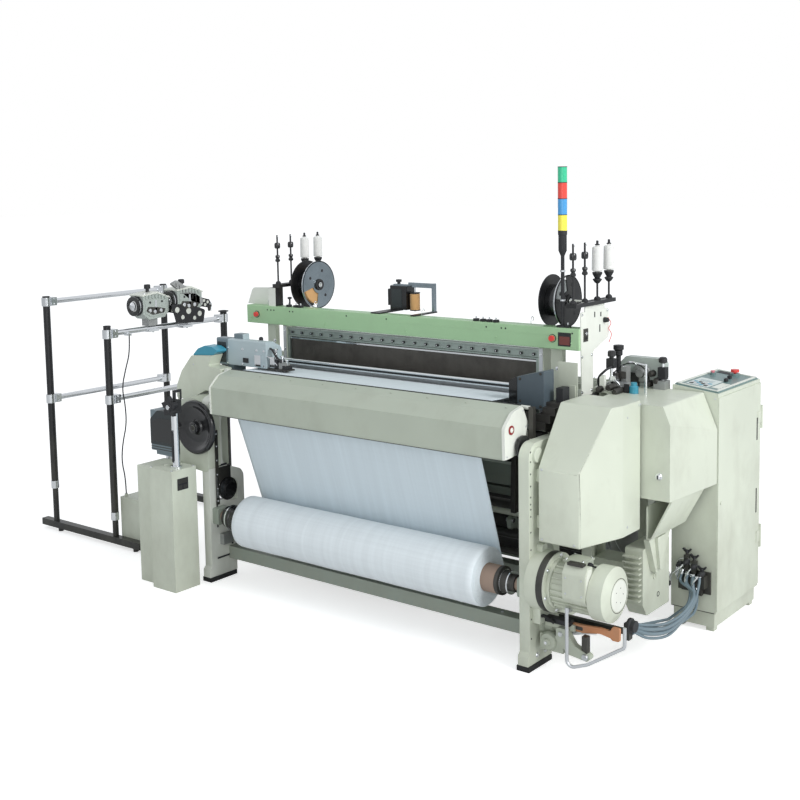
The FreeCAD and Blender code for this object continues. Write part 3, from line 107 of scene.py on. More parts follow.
class Tree:
    """Places and joins nodes in a material or a node group."""

    def __init__(self, tree: bpy.types.NodeTree) -> None:
        """Keeps the tree that nodes go into."""
        self.tree = tree

    def add(self, kind: str, **settings: object) -> bpy.types.Node:
        """Places a node.

        Args:
            kind: Blender's name of the node type.
            settings: Properties of the node to set.

        Returns:
            The new node.
        """
        node = self.tree.nodes.new(kind)
        for name, value in settings.items():
            setattr(node, name, value)
        return node

    def link(self, source: bpy.types.NodeSocket, target: bpy.types.NodeSocket) -> None:
        """Joins two sockets."""
        self.tree.links.new(source, target)

    def math(self, how: str, first: object, second: object = 0.0, third: object = None,
             clamp: bool = False) -> bpy.types.NodeSocket:
        """Places a Math node.

        Args:
            how: The operation.
            first: Its first number or socket.
            second: Its second number or socket.
            third: Its third number or socket, where the operation has one.
            clamp: Whether the result stays from 0 to 1.

        Returns:
            The socket with the result.
        """
        node = self.add("ShaderNodeMath", operation=how, use_clamp=clamp)
        for socket, value in zip(node.inputs, (first, second, third)):
            if isinstance(value, bpy.types.NodeSocket):
                self.link(value, socket)
            elif value is not None:
                socket.default_value = value
        return node.outputs[0]

    def mix(self, share: object, first: object, second: object) -> bpy.types.NodeSocket:
        """Mixes two colours.

        Args:
            share: How much of the second colour shows.
            first: A colour or a socket.
            second: A colour or a socket.

        Returns:
            The socket with the mixed colour.
        """
        node = self.add("ShaderNodeMix", data_type="RGBA")
        for socket, value in ((node.inputs[0], share), (node.inputs[6], first),
            (node.inputs[7], second)):
            if isinstance(value, bpy.types.NodeSocket):
                self.link(value, socket)
            elif isinstance(value, tuple):
                socket.default_value = (*value, 1.0)
            else:
                socket.default_value = value
        return node.outputs[2]

    def noise(self, vector: bpy.types.NodeSocket, scale: object, detail: float = 3.0,
              rough: float = 0.55) -> bpy.types.NodeSocket:
        """Places a noise of a given scale on a vector and returns its value.

        Args:
            vector: Where the noise is read.
            scale: A number or the socket that gives it.
            detail: Layers of finer noise.
            rough: Share of the finer layers.

        Returns:
            The value, from 0 to 1.
        """
        node = self.add("ShaderNodeTexNoise")
        self.link(vector, node.inputs["Vector"])
        if isinstance(scale, bpy.types.NodeSocket):
            self.link(scale, node.inputs["Scale"])
        else:
            node.inputs["Scale"].default_value = scale
        node.inputs["Detail"].default_value = detail
        node.inputs["Roughness"].default_value = rough
        return node.outputs[0]

    def ramp(self, value: bpy.types.NodeSocket, low: float, high: float) -> bpy.types.NodeSocket:
        """Stretches a value so that low becomes 0 and high becomes 1, and clamps it.

        Args:
            value: What is stretched.
            low: Value that becomes 0.
            high: Value that becomes 1.

        Returns:
            The stretched value.
        """
        node = self.add("ShaderNodeMapRange", clamp=True)
        self.link(value, node.inputs["Value"])
        node.inputs["From Min"].default_value = low
        node.inputs["From Max"].default_value = high
        return node.outputs[0]

    def stretched(self, scale: Point) -> bpy.types.NodeSocket:
        """Object coordinates, scaled along each axis."""
        place = self.add("ShaderNodeTexCoord")
        mapping = self.add("ShaderNodeMapping")
        mapping.inputs["Scale"].default_value = scale
        self.link(place.outputs["Object"], mapping.inputs["Vector"])
        return mapping.outputs[0]


class Effect:
    """A shader node group that several materials share, built once."""

    made: dict[str, bpy.types.NodeTree] = {}

    @staticmethod
    def start(name: str, inputs: dict[str, float], outputs: Iterable[str]) -> tuple:
        """Opens a new group.

        Args:
            name: The group's name.
            inputs: Names and rest values of its number inputs.
            outputs: Names of its number outputs.

        Returns:
            The group, its tree helper, its input node and its output node.
        """
        group = bpy.data.node_groups.new(name, "ShaderNodeTree")
        for label, value in inputs.items():
            socket = group.interface.new_socket(label, in_out="INPUT", socket_type="NodeSocketFloat")
            socket.default_value = value
        for label in outputs:
            group.interface.new_socket(label, in_out="OUTPUT", socket_type="NodeSocketFloat")
        tree = Tree(group)
        return group, tree, tree.add("NodeGroupInput"), tree.add("NodeGroupOutput")

    @classmethod
    def wear(cls) -> bpy.types.NodeTree:
        """Bare and rubbed edges: a mask along the sharp edges, broken up by a noise.

        Returns:
            The group, with its output Mask.
        """
        if "wear" not in cls.made:
            group, tree, given, result = cls.start("edge_wear", {"Width": 0.002, "Amount": 0.5},
                                                   ["Mask"])
            bevel = tree.add("ShaderNodeBevel", samples=4)
            tree.link(given.outputs["Width"], bevel.inputs["Radius"])
            plain = tree.add("ShaderNodeNewGeometry")
            dot = tree.add("ShaderNodeVectorMath", operation="DOT_PRODUCT")
            tree.link(bevel.outputs[0], dot.inputs[0])
            tree.link(plain.outputs["Normal"], dot.inputs[1])
            edge = tree.ramp(dot.outputs["Value"], 0.995, 0.9)
            spots = tree.ramp(tree.noise(tree.stretched((1, 1, 1)), 38.0, 5.0, 0.65), 0.46, 0.62)
            both = tree.math("MULTIPLY", edge, spots)
            tree.link(tree.math("MULTIPLY", both, given.outputs["Amount"], clamp=True),
                      result.inputs["Mask"])
            cls.made["wear"] = group
        return cls.made["wear"]

    @classmethod
    def grime(cls) -> bpy.types.NodeTree:
        """Lint and oil dirt: thick near the floor, thin in soft patches higher up.

        Returns:
            The group, with its output Mask.
        """
        if "grime" not in cls.made:
            group, tree, given, result = cls.start("grime", {"Amount": 0.3, "Height": 0.5}, ["Mask"])
            patches = tree.noise(tree.stretched((1, 1, 0.6)), 5.5, 6.0, 0.62)
            split = tree.add("ShaderNodeSeparateXYZ")
            tree.link(tree.stretched((1, 1, 1)), split.inputs[0])
            share = tree.math("DIVIDE", split.outputs["Z"], given.outputs["Height"])
            low = tree.math("SUBTRACT", 1.0, share, clamp=True)
            lifted = tree.math("MULTIPLY_ADD", low, 0.30, patches)
            soft = tree.ramp(lifted, 0.52, 0.95)
            tree.link(tree.math("MULTIPLY", soft, given.outputs["Amount"], clamp=True),
                      result.inputs["Mask"])
            cls.made["grime"] = group
        return cls.made["grime"]

    @classmethod
    def peel(cls) -> bpy.types.NodeTree:
        """Skin of sprayed paint: a fine height and a slow change of tone.

        Returns:
            The group, with its outputs Height and Tone.
        """
        if "peel" not in cls.made:
            group, tree, given, result = cls.start("paint_skin", {"Grain": 420.0},
                                                   ["Height", "Tone"])
            place = tree.stretched((1, 1, 1))
            tree.link(tree.noise(place, given.outputs["Grain"], 2.0, 0.5), result.inputs["Height"])
            tree.link(tree.noise(place, 2.3, 3.0, 0.5), result.inputs["Tone"])
            cls.made["peel"] = group
        return cls.made["peel"]

    @classmethod
    def use(cls, tree: Tree, group: bpy.types.NodeTree, **values: float) -> bpy.types.Node:
        """Places a group in a material and sets its inputs.

        Args:
            tree: The material's nodes.
            group: The group to place.
            **values: Its inputs by name.

        Returns:
            The placed node.
        """
        node = tree.add("ShaderNodeGroup", node_tree=group)
        for label, value in values.items():
            node.inputs[label].default_value = value
        return node


@dataclass(frozen=True)
class Finish:
    """What all finishes share: a name, a colour and how they start a material."""

    name: str
    colour: Colour
    roughness: float = 0.4

    def make(self) -> bpy.types.Material:
        """Returns this finish's material, and builds it the first time.

        Returns:
            The material.
        """
        made = bpy.data.materials.get(self.name)
        if made is None:
            made = bpy.data.materials.new(self.name)
            made.use_nodes = True
            made.node_tree.nodes.clear()
            tree = Tree(made.node_tree)
            shader = tree.add("ShaderNodeBsdfPrincipled")
            output = tree.add("ShaderNodeOutputMaterial")
            tree.link(shader.outputs[0], output.inputs["Surface"])
            shader.inputs["Base Color"].default_value = (*self.colour, 1.0)
            shader.inputs["Roughness"].default_value = self.roughness
            self.dress(tree, shader)
        return made

    def dress(self, tree: Tree, shader: bpy.types.Node) -> None:
        """Adds the nodes that make this finish what it is.

        Args:
            tree: The material's nodes.
            shader: The Principled shader that they feed.
        """

    def rough(self, tree: Tree, shader: bpy.types.Node, mask: bpy.types.NodeSocket,
              change: float) -> None:
        """Makes the roughness follow a mask."""
        tree.link(tree.math("MULTIPLY_ADD", mask, change, self.roughness), shader.inputs["Roughness"])

    def bump(self, tree: Tree, shader: bpy.types.Node, height: bpy.types.NodeSocket,
             strength: float, distance: float) -> None:
        """Raises the surface by a height in metres.

        Args:
            tree: The material's nodes.
            shader: The shader whose normal is bumped.
            height: Height from 0 to 1.
            strength: Share of the bump.
            distance: Metres at height 1.
        """
        node = tree.add("ShaderNodeBump")
        node.inputs["Strength"].default_value = strength
        node.inputs["Distance"].default_value = distance
        tree.link(height, node.inputs["Height"])
        tree.link(node.outputs[0], shader.inputs["Normal"])


@dataclass(frozen=True)
class Enamel(Finish):
    """Sprayed machine enamel on castings and sheet metal."""

    roughness: float = 0.36
    wear: float = 0.5
    dirt: float = 0.35
    under: Colour = srgb("7C7A72")
    dust: Colour = srgb("8C8A7A")

    def dress(self, tree: Tree, shader: bpy.types.Node) -> None:
        """Paint skin, worn edges, and lint and oil near the floor."""
        skin = Effect.use(tree, Effect.peel())
        worn = Effect.use(tree, Effect.wear(), Width=0.0022, Amount=self.wear)
        grime = Effect.use(tree, Effect.grime(), Amount=self.dirt, Height=0.9)
        dim = tuple(value * 0.93 for value in self.colour)
        toned = tree.mix(tree.ramp(skin.outputs["Tone"], 0.35, 0.65), dim, self.colour)
        dirty = tree.mix(grime.outputs["Mask"], toned, self.dust)
        tree.link(tree.mix(worn.outputs["Mask"], dirty, self.under), shader.inputs["Base Color"])
        self.rough(tree, shader, grime.outputs["Mask"], 0.35)
        self.bump(tree, shader, skin.outputs["Height"], 0.16, 0.0004)


@dataclass(frozen=True)
class Metal(Finish):
    """Bare metal, ground or drawn along one axis."""

    roughness: float = 0.28
    lie: Point = (3, 300, 300)
    scratch: float = 0.18

    def dress(self, tree: Tree, shader: bpy.types.Node) -> None:
        """Fine lines along the way that the metal was worked, and dull patches."""
        shader.inputs["Metallic"].default_value = 1.0
        lines = tree.noise(tree.stretched(self.lie), 1.0, 3.0, 0.6)
        patches = tree.noise(tree.stretched((1, 1, 1)), 9.0, 4.0, 0.6)
        dull = tuple(value * 0.72 for value in self.colour)
        tree.link(tree.mix(tree.ramp(patches, 0.45, 0.8), self.colour, dull),
                  shader.inputs["Base Color"])
        self.rough(tree, shader, lines, self.scratch)
        self.bump(tree, shader, lines, 0.12, 0.0003)


@dataclass(frozen=True)
class Moulded(Finish):
    """Plastic or rubber from a mould, with a fine grain."""

    grain: float = 900.0
    coat: float = 0.0

    def dress(self, tree: Tree, shader: bpy.types.Node) -> None:
        """Moulding grain and a little dust in patches."""
        shader.inputs["Coat Weight"].default_value = self.coat
        skin = Effect.use(tree, Effect.peel(), Grain=self.grain)
        grime = Effect.use(tree, Effect.grime(), Amount=0.35, Height=0.7)
        pale = tuple(min(1.0, value * 1.3 + 0.02) for value in self.colour)
        tree.link(tree.mix(grime.outputs["Mask"], self.colour, pale), shader.inputs["Base Color"])
        self.rough(tree, shader, grime.outputs["Mask"], 0.3)
        self.bump(tree, shader, skin.outputs["Height"], 0.12, 0.0002)


@dataclass(frozen=True)
class Lens(Finish):
    """Ribbed coloured lens of the signal tower."""

    def dress(self, tree: Tree, shader: bpy.types.Node) -> None:
        """Upright ribs round the lens and a little light from within."""
        shader.inputs["Coat Weight"].default_value = 0.6
        shader.inputs["Emission Strength"].default_value = 0.18
        shader.inputs["Emission Color"].default_value = (*self.colour, 1.0)
        rings = tree.add("ShaderNodeTexWave", wave_type="BANDS", bands_direction="Z")
        tree.link(tree.stretched((1, 1, 1)), rings.inputs["Vector"])
        rings.inputs["Scale"].default_value = 60.0
        deep = tuple(value * 0.6 for value in self.colour)
        tree.link(tree.mix(rings.outputs["Fac"], deep, self.colour), shader.inputs["Base Color"])
        self.bump(tree, shader, rings.outputs["Fac"], 0.4, 0.0006)


@dataclass(frozen=True)
class Yarn(Finish):
    """Wound yarn: fine turns across an axis."""

    roughness: float = 0.85
    turns: float = 900.0
    axis: Axis = Axis.Z

    def dress(self, tree: Tree, shader: bpy.types.Node) -> None:
        """Turns of thread with a soft sheen."""
        shader.inputs["Sheen Weight"].default_value = 0.3
        stretch = [8.0, 8.0, 8.0]
        stretch[self.axis.value] = self.turns
        lines = tree.noise(tree.stretched(stretch), 1.0, 2.0, 0.5)
        dark = tuple(value * 0.80 for value in self.colour)
        tree.link(tree.mix(lines, dark, self.colour), shader.inputs["Base Color"])
        self.bump(tree, shader, lines, 0.5, 0.0006)


@dataclass(frozen=True)
class Cloth(Finish):
    """Plain pale cloth: a fine weave, soft streaks across it and bands along its width."""

    roughness: float = 0.78
    count: float = 950.0
    bands: float = 0.25

    def dress(self, tree: Tree, shader: bpy.types.Node) -> None:
        """Weave, streaks of tension, and the soft bands that winding leaves."""
        shader.inputs["Sheen Weight"].default_value = 0.25
        across = tree.noise(tree.stretched((self.count, 6, 6)), 1.0, 2.0, 0.5)
        along = tree.noise(tree.stretched((6, self.count, self.count)), 1.0, 2.0, 0.5)
        weave = tree.math("MULTIPLY", across, along)
        streaks = tree.noise(tree.stretched((26, 0.8, 0.8)), 1.0, 3.0, 0.6)
        turns = tree.noise(tree.stretched((0.7, 90, 90)), 1.0, 4.0, 0.6)
        shade = tree.math("MULTIPLY_ADD", turns, self.bands,
                          tree.math("MULTIPLY", streaks, 0.3))
        dark = tuple(value * 0.80 for value in self.colour)
        tree.link(tree.mix(tree.ramp(shade, 0.15, 0.45), dark, self.colour),
                  shader.inputs["Base Color"])
        self.bump(tree, shader, tree.math("MULTIPLY_ADD", turns, 0.8, weave), 0.35, 0.0006)


CREAM = Enamel("cream_enamel", srgb("D0D6C6"))
WHITE = Enamel("pale_enamel", srgb("E6E9E0"), wear=0.35, dirt=0.25)
SAGE = Enamel("sage_enamel", srgb("B7BFB0"), wear=0.35)
GREEN = Enamel("beam_green_enamel", srgb("A6CB9F"), wear=0.4, dirt=0.2)
SLATE = Enamel("slate_enamel", srgb("76858C"), wear=0.4)
BLACK = Enamel("black_enamel", srgb("1D1E20"), roughness=0.32, wear=0.3, dirt=0.2)
COPPER = Enamel("lever_enamel", srgb("C98457"), wear=0.6)
PANEL = Enamel("panel_enamel", srgb("6E8887"), wear=0.2, dirt=0.15)
GROUND = Metal("ground_steel", srgb("B9BDBF"), 0.34)
BRIGHT = Metal("bright_steel", srgb("C3C9CC"), 0.16, scratch=0.12)
CAST = Metal("cast_aluminium", srgb("B4B6B5"), 0.5, lie=(160, 160, 160))
IRON = Metal("dark_iron", srgb("5B5A57"), 0.46, lie=(120, 120, 120))
GLOSS = Moulded("gloss_black_plastic", srgb("141517"), 0.22, coat=0.4)
MATT = Moulded("matt_black_plastic", srgb("222326"), 0.55)
RUBBER = Moulded("black_rubber", srgb("191A1A"), 0.75, grain=500.0)
TUBE = Moulded("brown_tube", srgb("43362E"), 0.62, grain=300.0)
HOSE = Moulded("blue_grey_hose", srgb("6A7B84"), 0.3)
BLUE = Moulded("blue_plastic", srgb("4FA3C6"), 0.3, coat=0.3)
RED = Moulded("red_plastic", srgb("C8231E"), 0.3, coat=0.4)
PINK = Moulded("pink_plastic", srgb("D9727C"), 0.3, coat=0.3)
LENS_RED = Lens("lens_red", srgb("D22A22"), 0.25)
LENS_BLUE = Lens("lens_blue", srgb("2A79C4"), 0.25)
LENS_GREEN = Lens("lens_green", srgb("2BA267"), 0.25)
LENS_YELLOW = Lens("lens_yellow", srgb("EFD93A"), 0.25)
WHITE_YARN = Yarn("white_yarn", srgb("F1F1EE"))
WARP_YARN = Yarn("warp_yarn", srgb("DFE3E4"), axis=Axis.X)
CLOTH = Cloth("pale_cloth", srgb("E6F3FA"), bands=0.05)
CLOTH_ROLL = Cloth("rolled_cloth", srgb("F0F8FC"), bands=0.18)
FEEDER = Enamel("feeder_enamel", srgb("B3BCB6"), wear=0.3, dirt=0.1)
KEYS = Moulded("membrane_keys", srgb("D3DDDA"), 0.4)
WINDOW = Moulded("dark_window", srgb("8FA9AB"), 0.12, coat=0.6)
DISPLAY = Lens("red_display", srgb("6B2A22"), 0.2)
TAN_YARN = Yarn("tan_yarn", srgb("E0AE74"), axis=Axis.X)
GREY_YARN = Yarn("grey_yarn", srgb("8E9494"), axis=Axis.X)
STAVE = Metal("brushed_staves", srgb("A7B2AC"), 0.4, lie=(2, 260, 260))
HEALD = Metal("dark_healds", srgb("7E7B76"), 0.5, lie=(60, 60, 6))
CHROME = Metal("dark_chrome", srgb("9BA7AE"), 0.14, scratch=0.1)
CHARCOAL = Moulded("charcoal_plastic", srgb("2D3436"), 0.42)
DEEP_RED = Moulded("deep_red_plastic", srgb("8E2A2C"), 0.35)
PALE_SLATE = Enamel("pale_slate_enamel", srgb("B7C6CB"), wear=0.3)
DARK_SLATE = Enamel("dark_slate_enamel", srgb("4E5A62"), wear=0.4)
# Cream paint darkened to stand in for shade: painted shade on the low cross beams and on the parts
# inside the frame.
SHADED_CREAM = Enamel("shaded_cream_enamel", srgb("98A297"), wear=0.6)


# ---------------------------------------------------------------------------------------------
# Forms


def outline(*corners: Point, steps: int = 5) -> list[tuple[float, float]]:
    """Draws a closed outline whose corners may be rounded.

    Args:
        corners: Corners in order, each with its radius as a third number where it is round.
        steps: Straight pieces in each rounded corner.

    Returns:
        The outline's points.
    """
    points: list[tuple[float, float]] = []
    for index, corner in enumerate(corners):
        here = Vector(corner[:2])
        radius = corner[2] if len(corner) > 2 else 0.0
        if radius <= 0:
            points.append(tuple(here))
            continue
        before = (Vector(corners[index - 1][:2]) - here).normalized()
        after = (Vector(corners[(index + 1) % len(corners)][:2]) - here).normalized()
        half = before.angle(after) / 2
        reach = radius / math.tan(half)
        start, end = here + before * reach, here + after * reach
        centre = here + (before + after).normalized() * (radius / math.sin(half))
        for step in range(steps + 1):
            spot = start.lerp(end, step / steps)
            points.append(tuple(centre + (spot - centre).normalized() * radius))
    return points


def circle(across: float, up: float, radius: float, sides: int = 24) -> list[tuple[float, float]]:
    """Points round a circle."""
    return [(across + radius * math.cos(2 * math.pi * i / sides),
             up + radius * math.sin(2 * math.pi * i / sides)) for i in range(sides)]


def round_edges(piece: bpy.types.Object, edge: float, crease: float) -> None:
    """Rounds a piece's sharp edges, where their width isn't 0.

    Args:
        piece: The piece.
        edge: Width of the rounding in millimetres.
        crease: Angle in degrees from which an edge is sharp.
    """
    if edge > 0:
        rounding = piece.modifiers.new("rounding", "BEVEL")
        rounding.width = edge * MM
        rounding.segments = 2
        rounding.limit_method = "ANGLE"
        rounding.angle_limit = math.radians(crease)
        rounding.harden_normals = True


def smooth_run(points: Sequence[Point], steps: int = 6) -> list[Vector]:
    """A smooth line through a few points, each a place in loom millimetres.

    Args:
        points: Places that the line passes.
        steps: Pieces of line between two of them.

    Returns:
        The line's points.
    """
    spots = [Vector(point) for point in points]
    ends = [spots[0] * 2 - spots[1]] + spots + [spots[-1] * 2 - spots[-2]]
    line = []
    for a, b, c, d in zip(ends, ends[1:], ends[2:], ends[3:]):
        for step in range(steps):
            t = step / steps
            line.append(0.5 * (2 * b + (c - a) * t + (2 * a - 5 * b + 4 * c - d) * t * t
                               + (3 * b - a - 3 * c + d) * t ** 3))
    return line + [spots[-1]]


class Shop:
    """Collects forms into one piece, each form with a finish of its own.

    Every place is in loom millimetres.
    """

    def __init__(self, name: str, body: Body = Body.LOOM, slot: str = "cream_paint") -> None:
        """Opens an empty piece that rides on a body and keeps the name of a slot.

        Args:
            name: The piece's name.
            body: The moving part that it rides on.
            slot: The record's slot for its finish; not used.
        """
        self.name = name
        self.body = body
        self.slot = slot
        self.mesh = bmesh.new()
        self.finishes: list[Finish] = []

    def skin(self, finish: Finish, rings: Sequence[Sequence[Vector]], ring_shut: bool = True,
             ends_shut: bool = True, looped: bool = False) -> None:
        """Joins rings of points into a skin.

        Args:
            finish: What the skin is made of.
            rings: Rings with the same number of points.
            ring_shut: Whether the last point of each ring joins its first.
            ends_shut: Whether the first and last ring get a face.
            looped: Whether the last ring joins the first.
        """
        if finish not in self.finishes:
            self.finishes.append(finish)
        number = self.finishes.index(finish)
        rows = [[self.mesh.verts.new(at(point)) for point in ring] for ring in rings]
        count = len(rows[0])
        faces = []
        for first, second in zip(rows, rows[1:] + (rows[:1] if looped else [])):
            for index in range(count if ring_shut else count - 1):
                near = (index + 1) % count
                faces.append(self.mesh.faces.new((first[index], first[near], second[near],
                                                  second[index])))
        if ends_shut and ring_shut and not looped:
            faces.append(self.mesh.faces.new(rows[0]))
            faces.append(self.mesh.faces.new(rows[-1]))
        for face in faces:
            face.material_index = number
            face.smooth = True

    def lathe(self, finish: Finish, place: Point, axis: Axis, profile: Sequence[Point],
              sides: int = 28, looped: bool = False) -> None:
        """Turns a profile of radii and heights about an axis through a place.

        Args:
            finish: What it is made of.
            place: A point of its centre line.
            axis: Direction of that line.
            profile: Radii with their stations along it.
            sides: Flats round it.
            looped: Whether the profile's last point joins its first.
        """
        first = (axis.value + 1) % 3
        second = (axis.value + 2) % 3
        rings = []
        for radius, height in profile:
            ring = []
            for index in range(sides):
                angle = 2 * math.pi * index / sides
                spot = Vector(place)
                spot[axis.value] += height
                spot[first] += max(radius, 0.05) * math.cos(angle)
                spot[second] += max(radius, 0.05) * math.sin(angle)
                ring.append(spot)
            rings.append(ring)
        self.skin(finish, rings, looped=looped)

    def rod(self, finish: Finish, place: Point, axis: Axis, radius: float, low: float,
            high: float, sides: int = 24) -> None:
        """A plain round length between two stations along its axis."""
        self.lathe(finish, place, axis, [(0, low), (radius, low), (radius, high), (0, high)], sides)

    def turned(self, finish: Finish, place: Point, axis: Axis, profile: Sequence[Point],
               sides: int) -> None:
        """A solid turned piece: the profile is closed to the axis with flat ends."""
        ends = (0, profile[0][1]), (0, profile[-1][1])
        self.lathe(finish, place, axis, [ends[0], *profile, ends[1]], sides)

    def ring(self, finish: Finish, place: Point, axis: Axis, inner: float, outer: float,
             low: float, high: float, sides: int = 24) -> None:
        """A square-edged ring between two radii and two stations along its axis."""
        self.lathe(finish, place, axis, [(inner, low), (outer, low), (outer, high), (inner, high)],
                   sides, looped=True)

    def prism(self, finish: Finish, axis: Axis, points: Sequence[Point], start: float,
              length: float) -> None:
        """Pushes an outline along an axis.

        Args:
            finish: What it is made of.
            axis: Direction of the push.
            points: The outline: the other two axes, in the order X, Y, Z.
            start: Where it starts on the axis.
            length: How far it goes.
        """
        rings = []
        for reach in (start, start + length):
            ring = []
            for across, up in points:
                spot = [across, up]
                spot.insert(axis.value, reach)
                ring.append(Vector(spot))
            rings.append(ring)
        self.skin(finish, rings)

    def block(self, finish: Finish, low: Point, size: Point) -> None:
        """A block from its lowest corner and its size.

        Args:
            finish: What it is made of.
            low: Its lowest corner.
            size: Its width, depth and height.
        """
        x, y, z = low
        wide, deep, tall = size
        self.prism(finish, Axis.Z, [(x, y), (x + wide, y), (x + wide, y + deep), (x, y + deep)],
                   z, tall)

    def pipe(self, finish: Finish, points: Sequence[Point], radius: float, sides: int = 10,
             steps: int = 6) -> None:
        """A round pipe on a smooth line through a few points.

        Args:
            finish: What it is made of.
            points: Places that its middle passes.
            radius: Its radius.
            sides: Flats round it.
            steps: Pieces between two places, 1 for straight runs.
        """
        line = smooth_run(points, steps) if steps > 1 else [Vector(point) for point in points]
        ahead = (line[1] - line[0]).normalized()
        side = ahead.orthogonal().normalized()
        rings = []
        for index, spot in enumerate(line):
            nearby = line[min(index + 1, len(line) - 1)] - line[max(index - 1, 0)]
            ahead = nearby.normalized()
            side = (side - ahead * side.dot(ahead)).normalized()
            up = ahead.cross(side)
            rings.append([spot + (side * math.cos(a) + up * math.sin(a)) * radius
                          for a in (2 * math.pi * i / sides for i in range(sides))])
        self.skin(finish, rings)

    def bolt(self, place: Point, axis: Axis, radius: float = 7.0, tall: float = 5.0,
             finish: "Finish | None" = None) -> None:
        """A hexagon head on a washer, standing out along an axis (downwards where tall < 0).

        Args:
            place: Middle of the washer's foot.
            axis: Direction in which it stands.
            radius: The head's radius.
            tall: Its height, and the way by its sign.
            finish: Its finish, or bright steel.
        """
        finish = finish or BRIGHT
        self.lathe(finish, place, axis, [(0, 0), (radius * 1.45, 0), (radius * 1.45, tall * 0.25),
                                         (0, tall * 0.25)], 14)
        self.lathe(finish, place, axis, [(0, tall * 0.25), (radius, tall * 0.25), (radius, tall * 0.9),
                                         (radius * 0.85, tall), (0, tall)], 6)

    def done(self, edge: float = 0.5, replaces: Sequence[str] = (),
             crease: float = 34.0) -> bpy.types.Object:
        """Closes the piece.

        Args:
            edge: Width of its rounded edges in millimetres, or 0.
            replaces: Nodes of the frame that it stands for.
            crease: Angle in degrees from which an edge is sharp.

        Returns:
            The finished object.
        """
        bmesh.ops.remove_doubles(self.mesh, verts=self.mesh.verts, dist=0.00001)
        bmesh.ops.recalc_face_normals(self.mesh, faces=self.mesh.faces)
        data = bpy.data.meshes.new(f"{self.name}_mesh")
        self.mesh.to_mesh(data)
        self.mesh.free()
        for finish in self.finishes:
            data.materials.append(finish.make())
        data.set_sharp_from_angle(angle=math.radians(crease))
        piece = bpy.data.objects.new(self.name, data)
        bpy.context.scene.collection.objects.link(piece)
        round_edges(piece, edge, crease)
        if replaces:
            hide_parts(*replaces)
        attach(piece, self.body.value)
        LOG.info("made %s", self.name)
        return piece


# ---------------------------------------------------------------------------------------------
# Cloth, yarn and cable


@dataclass(frozen=True)
class Roller:
    """A round thing seen from the side; the cloth turns left round it where the sign is +."""

    depth: float
    height: float
    radius: float


def belt(rollers: Sequence[Roller], spacing: float = 30.0) -> list[tuple[float, float]]:
    """A line that runs tightly over rollers, as places in depth and height.

    Args:
        rollers: Rollers in the order in which the line meets them.
        spacing: Longest step of a straight run.

    Returns:
        The line's points.
    """
    runs = []
    for first, second in zip(rollers, rollers[1:]):
        along = Vector((second.depth - first.depth, second.height - first.height))
        heading = math.atan2(along.y, along.x) + math.asin((first.radius - second.radius)
                                                           / along.length)
        side = Vector((math.sin(heading), -math.cos(heading)))
        runs.append((Vector((first.depth, first.height)) + side * first.radius,
                     Vector((second.depth, second.height)) + side * second.radius))
    line = []
    for index, (start, end) in enumerate(runs):
        steps = max(2, int((end - start).length / spacing))
        line += [start.lerp(end, step / steps) for step in range(steps + 1)]
        if index + 1 < len(runs):
            roller = rollers[index + 1]
            centre = Vector((roller.depth, roller.height))
            turn = (end - centre).angle_signed(runs[index + 1][0] - centre)
            steps = max(3, int(abs(turn) / 0.22))
            for step in range(1, steps):
                part = Matrix.Rotation(-turn * step / steps, 2)
                line.append(centre + part @ (end - centre))
    return [tuple(point) for point in line]


